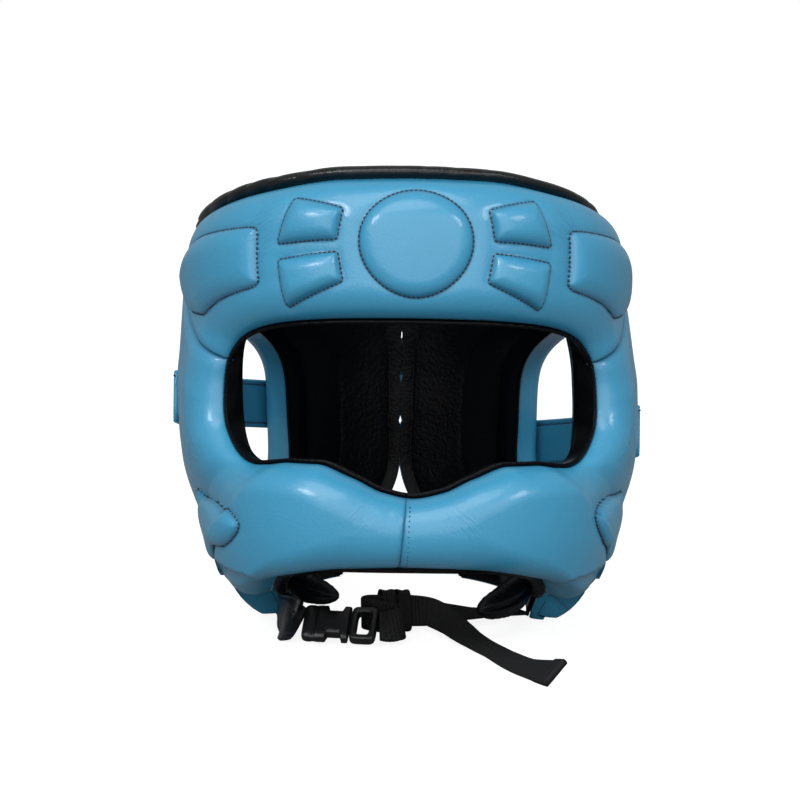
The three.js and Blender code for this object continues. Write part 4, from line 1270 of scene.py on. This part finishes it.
def keeper_rings(span):
    """Elastic band round the plies: an oval section, pinched in its middle, as a closed skin."""
    rows, columns = KEEPER["grid"]
    path, side, normal, _ = route(LOOP_ROUTE, np.linspace(*span, rows))
    turn, share = circle(columns)[None, :], np.linspace(-1, 1, rows)[:, None]
    loops = []
    for wall_thick in (KEEPER["wall"], 0):
        grow = wall_thick * (1 - share ** KEEPER["edge"])
        half = KEEPER["half"] - KEEPER["pinch"] * (1 - share ** 2) + grow
        depth = KEEPER["depth"] + KEEPER["flare"] * share ** 2 + grow
        across, up = (size * squared(wave(turn), KEEPER["square"])
                      for size, wave in ((half, np.cos), (depth, np.sin)))
        loops.append(sweep(path, side, normal, across, up))
    weave = together(run_of(path)[:, None], KEEPER["weave"] * turn, 0.0)
    return np.concatenate([loops[0], loops[1][::-1]]), np.concatenate([weave, weave[::-1]])


for number, span in enumerate(KEEPER["spans"], 1):
    rings, weave = keeper_rings(span)
    keeper = ring_body(f"elastic_keeper_{number}", rings, {"weave": weave}, torus=True)
    dress(keeper, elastic, [f"strap_keeper_{number}"])

# %% Tab
TAB = {"grid": 70, "section": (1.0, 0.2), "thick": 12, "end": 1.0, "seam": 0.8, "seam_width": 0.06,
       "seam_deep": 0.25}

path, side, normal, halves = route(TAB_ROUTE, np.linspace(0, len(TAB_ROUTE) - 1, TAB["grid"]))
share, up = strip_profile(*TAB["section"])
across = np.where(share < 0, share * halves[:, :1], share * halves[:, 1:])
seam = bell(np.abs(share) - TAB["seam"], TAB["seam_width"])
up = up * TAB["thick"] * (1 - TAB["seam_deep"] * seam)
tab = closed_tube("jaw_tab", sweep(path, side, normal, across, up), TAB["end"])
dress(tab, rim_black, ["strap_tab"])

# %% [markdown]
# ## Buckle
#
# The buckle is two mouldings: a socket with a notch in each side, where fingers press, and a plug
# with a frame for the webbing. The socket is a rounded plate, so a squared circle is carried along
# it and drawn in at both ends. The plug is the same section carried round a squared oval.

# %% Buckle
BUCKLE = {"at": (-38, -88.5, 9), "yaw": -9, "tilt": 38, "half": 10.0, "thick": 6.0}
SOCKET = {"long": 22.0, "grid": (80, 48), "square": (0.45, 0.5), "crown": 0.06, "round": (3, 1.2),
          "mouth": 0.82, "ends": 0.55}
NOTCH = {"from": 0, "to": 8, "ramp": 1.0, "deep": 0.3}
STEP = {"at": -5.5, "width": 1.0, "deep": 0.18}
PLUG = {"long": 12.7, "thick": 0.86, "bar": 1.7, "grid": (96, 20), "oval": 0.35, "section": 0.6}
yaw, tilt = np.radians([BUCKLE["yaw"], BUCKLE["tilt"]])
turn_yaw = np.array([[np.cos(yaw), -np.sin(yaw), 0], [np.sin(yaw), np.cos(yaw), 0], [0, 0, 1]])
turn_tilt = np.array([[1, 0, 0], [0, np.cos(tilt), -np.sin(tilt)], [0, np.sin(tilt), np.cos(tilt)]])


def on_buckle(x, y, z):
    """Buckle's own place: tilted about its length, turned about the upright, then moved."""
    return together(x, y, z) @ (turn_yaw @ turn_tilt).T + BUCKLE["at"]


def socket_rings():
    """Rounded plate: at each place along x a section like a squared circle, crowned on its face."""
    x = np.linspace(-SOCKET["long"] / 2, SOCKET["long"] / 2, SOCKET["grid"][0])[:, None]
    mouth = quarter((x + SOCKET["long"] / 2) / SOCKET["round"][0])
    ends = mouth * quarter((SOCKET["long"] / 2 - x) / SOCKET["round"][1])
    into, out = (x - NOTCH["from"]) / NOTCH["ramp"], (NOTCH["to"] - x) / NOTCH["ramp"]
    notch = 1 - NOTCH["deep"] * np.clip(into, 0, 1) * np.clip(out, 0, 1)
    half = BUCKLE["half"] * np.minimum(notch, blend(SOCKET["mouth"], 1, mouth))
    step = 1 - STEP["deep"] * bell(x - STEP["at"], STEP["width"])
    thick = BUCKLE["thick"] * blend(SOCKET["ends"], 1, ends) * step
    turn = circle(SOCKET["grid"][1])[None, :]
    across = half * squared(np.cos(turn), SOCKET["square"][0])
    crown = 1 + SOCKET["crown"] * (1 - (across / BUCKLE["half"]) ** 2)
    return on_buckle(x, across, thick / 2 * squared(np.sin(turn), SOCKET["square"][1]) * crown)


def plug_rings():
    """Frame round the webbing's slot: a squared circle, carried round a squared oval."""
    turn, ring = circle(PLUG["grid"][0])[:, None], circle(PLUG["grid"][1])[None, :]
    reach = PLUG["long"] / 2
    width = PLUG["bar"] * squared(np.cos(ring), PLUG["section"]) - PLUG["bar"]
    x = SOCKET["long"] / 2 + GAP + reach + (reach + width) * squared(np.cos(turn), PLUG["oval"])
    y = (BUCKLE["half"] + width) * squared(np.sin(turn), PLUG["oval"])
    z = BUCKLE["thick"] * PLUG["thick"] / 2 * squared(np.sin(ring), PLUG["section"])
    return on_buckle(x, y, z)


socket = ring_body("buckle_body", socket_rings())
dress(socket, plastic, ["buckle_socket"])
plug = ring_body("buckle_prong", plug_rings(), torus=True)
dress(plug, plastic, ["buckle_plug"])

# %% [markdown]
# ## Laces
#
# Two round laces cross over the gap at the back, from hole to hole. A lace is braided, so its
# radius swells in a slanted pattern of strands.

# %% Laces
LACE = {"radius": 1.2, "reach": 14, "first": 82.3, "pitch": 23.3, "rows": 5, "lift": 1.5,
        "panel": 20, "grid": (240, 16)}
BRAID = {"high": 0.07, "strands": 3, "pace": 2.4, "weave": 1.2}


def lace_path(side, lift):
    """Zigzag between rows of holes, from one panel to the other, lifted where the laces cross."""
    step = np.arange(2 * LACE["rows"] - 1)
    turn = np.where(step % 4 == 0, 1, np.where(step % 4 == 2, -1, 0)) * side
    raised = np.where(step % 2 == 1, lift, 0)
    deg = 180 - np.degrees(np.arctan2(turn * LACE["reach"], LACED["reach"] + LACE["panel"]))
    offset = LACE["panel"] + LACE["radius"] + GAP + raised
    knots = wall(deg, LACE["first"] + step * LACE["pitch"] / 2, offset)
    rows = np.concatenate([knots, np.zeros((len(knots), 1))], 1)
    return route(rows, np.linspace(0, len(knots) - 1, LACE["grid"][0]))[0]


for word, side in SIDES.items():
    path = lace_path(side, 2 * LACE["lift"] if side > 0 else 0)
    run, turn = run_of(path)[:, None], circle(LACE["grid"][1])[None, :]
    left, right = (np.sin(BRAID["strands"] * turn + way * run * BRAID["pace"]) for way in (1, -1))
    radius = LACE["radius"] * (1 + BRAID["high"] * left * right)
    rings = carried(path, (0.0, 1.0, 0.0), radius * np.cos(turn), radius * np.sin(turn))
    weave = together(run, BRAID["weave"] * turn, 0.0)
    lace = ring_body(f"round_lace_{word}", rings, {"weave": weave})
    dress(lace, webbing, [f"back_lace_{word}"])

# %% [markdown]
# ## Stitches
#
# Every seam is sewn with dark thread. One stitch is a small bean whose two ends dive into the
# leather. It is made once, and copies are turned and placed along each line, all in one array.

# %% Stitches
STITCH = {"pitch": 2.15, "long": 1.75, "radius": 0.5, "sink": 0.3}
FINE = {"pitch": 1.1, "long": 1.0, "radius": 0.42, "sink": 0.2}
BEAN = {"grid": (6, 6), "blunt": 1.02}


def bean(size):
    """One stitch along x: a round section that shrinks to both ends, bent down there."""
    rows, columns = BEAN["grid"]
    turn, share = circle(columns)[None, :], np.linspace(-1, 1, rows)[:, None]
    radius = size["radius"] * np.sqrt(np.clip(BEAN["blunt"] - share ** 2, 0, 1))
    down = radius * np.sin(turn) - size["sink"] * share ** 2
    return together(size["long"] / 2 * share, radius * np.cos(turn), down).reshape(-1, 3)


def sew(name, lines, cloth, size=STITCH):
    """Copies of the stitch, evenly spaced along lines of points with their normals, as one object.
    Each copy is turned to its line: x along it, y square to it, z along the normal."""
    shape, faces = bean(size), quads(*BEAN["grid"])
    spots = []
    for points, normals, closed in lines:
        if closed:
            points, normals = (np.concatenate([values, values[:1]]) for values in (points, normals))
        run = run_of(points)
        even = np.linspace(0, run[-1], max(int(run[-1] / size["pitch"]), 2), endpoint=not closed)
        middle, normal, tangent = (np.stack([np.interp(even, run, axis) for axis in values.T], 1)
                                   for values in (points, normals, along_path(points)))
        side, tangent = unit(np.cross(normal, tangent)), unit(tangent)
        spots.append((middle, tangent, side, np.cross(tangent, side)))
    middle, *axes = (np.concatenate(part)[:, None] for part in zip(*spots))
    copies = middle + sum(shape[:, i:i + 1] * axis for i, axis in enumerate(axes))
    number = np.arange(len(middle))[:, None, None] * len(shape)
    print(name, len(middle), "stitches")
    dress(piece(name, copies.reshape(-1, 3), (faces + number).reshape(-1, 4)), cloth)


# %% Seams
ON_PADS = 0.15 - GROOVE["deep"] * 0.5
CHIN_SEAM = {"beside": 0.12, "from": 0.12, "to": 0.97, "points": 60, "lift": -0.5}
EYE_SEAM = {"from": 5.1, "to": 10.4, "points": 200, "share": -0.004, "lift": 0.5}
STRAP_SINK = 0.3


def seam_line(rows, shares, lift):
    """Open line over the mask, as points and normals."""
    return (*on_mask(together(rows, shares), lift), False)


on_pads = [(*on_mask(line, ON_PADS), True) for *_, line in OUTLINES.values()]
sew("pad_stitches", on_pads, thread)
chin_shares = spread(CHIN_SEAM)
chin_line = seam_line(CHIN_ROWS["right"] - CHIN_SEAM["beside"], chin_shares, CHIN_SEAM["lift"])
sew("seam_stitches", [chin_line], thread)
eye_rows = spread(EYE_SEAM)
eye_lines = [seam_line(side * eye_rows, EYE_SEAM["share"], EYE_SEAM["lift"])
             for side in SIDES.values()]
sew("eye_stitches", eye_lines, black_thread, FINE)
strap_lines = []
for word, side in SIDES.items():
    path = ear_paths[word]
    flat = unit(np.cross(along_path(path), UP)) * -side
    for across in (-1, 1):
        for face in (-1, 1):
            edge = path + UP * across * (EAR_STRAP["half"] - EAR_SEAM["in"])
            edge = edge + flat * face * (EAR_STRAP["thick"] / 2 - STRAP_SINK)
            strap_lines.append((edge, flat * face, False))
sew("strap_stitches", strap_lines, thread)

# %% [markdown]
# ## Light and floor
#
# The photograph has a bright white surround and soft boxes, so highlights are broad and shadows
# are faint. A white world gives the surround, three large lamps and a soft sun give the
# highlights, and the floor is plain and pale. It shines a little to the camera alone, so that it
# looks white without lighting the guard from below.

# %% Light
# spot in metres, size, power
LAMPS = {
    "soft_left": ((-0.85, -1.05, 1.00), 0.34, 7.5),
    "soft_right": ((0.90, -1.00, 0.95), 0.34, 4.8),
    "soft_front": ((0.0, -1.90, 0.25), 2.4, 31.0),
}
SUN = {"spot": (-0.15, -0.60, 1.2), "strength": 1.25, "angle": 40}
LAMP_TARGET = (0, 0, 0.11)
LAMP_UP = (0, 1, 0.01)
SURROUND = {"seen": 1.0, "light": 0.38}


def shine(name, kind, spot, **settings):
    """Adds a lamp that looks at the guard's middle: its own Z axis points back along the beam."""
    lamp = bpy.data.lights.new(name, kind)
    for key, value in settings.items():
        setattr(lamp, key, value)
    aim = unit(np.array(spot) - LAMP_TARGET)
    right = unit(np.cross(LAMP_UP, aim))
    put(bpy.data.objects.new(name, lamp), [right, np.cross(aim, right), aim], spot)


for name, (spot, size, power) in LAMPS.items():
    shine(name, "AREA", spot, size=size, energy=power)
shine("soft_sky", "SUN", SUN["spot"], energy=SUN["strength"], angle=np.radians(SUN["angle"]))

world = bpy.data.worlds.new("white_surround")
world.use_nodes = True
world.node_tree.nodes.clear()
tree = Shade(world.node_tree)
seen = tree.node("ShaderNodeLightPath", None, None, "Is Camera Ray")
strength = seen * (SURROUND["seen"] - SURROUND["light"]) + SURROUND["light"]
sky = tree.node("ShaderNodeBackground", None, {"Color": (1, 1, 1, 1), "Strength": strength})
tree.node("ShaderNodeOutputWorld", None, {"Surface": sky})
bpy.context.scene.world = world
bpy.context.scene.view_settings.view_transform = "Standard"
print("lamps:", ", ".join(LAMPS), "and a sun")

# %% Floor
FLOOR = {"half": 30, "tones": (0.27, 0.29), "glow": 0.89, "scales": (3.0, 9.0, 60.0),
         "rough": (0.8, 0.1), "distance": 0.0001, "gloss": 0.1}

floor_paint, tree, place = material("pale_floor")
seen = tree.node("ShaderNodeLightPath", None, None, "Is Camera Ray")
low, high = (dyed((tone,) * 3) for tone in FLOOR["tones"])
stain, polish, pores = (place.noise(scale) for scale in FLOOR["scales"])
surface(tree, stain.mix(low, high), polish.shift(*FLOOR["rough"]), pores, FLOOR["distance"],
        Specular_IOR_Level=FLOOR["gloss"], Emission_Strength=FLOOR["glow"],
        Emission_Color=seen.mix(dyed((0, 0, 0)), dyed((1, 1, 1))))
floor = bpy.data.meshes.new("floor")
corners = np.array([(-1, -1, 0), (1, -1, 0), (1, 1, 0), (-1, 1, 0)]) * FLOOR["half"]
floor.from_pydata(corners.tolist(), [], [(0, 1, 2, 3)])
floor.materials.append(floor_paint)
ground = bpy.data.objects.new("floor", floor)
bpy.context.scene.collection.objects.link(ground)
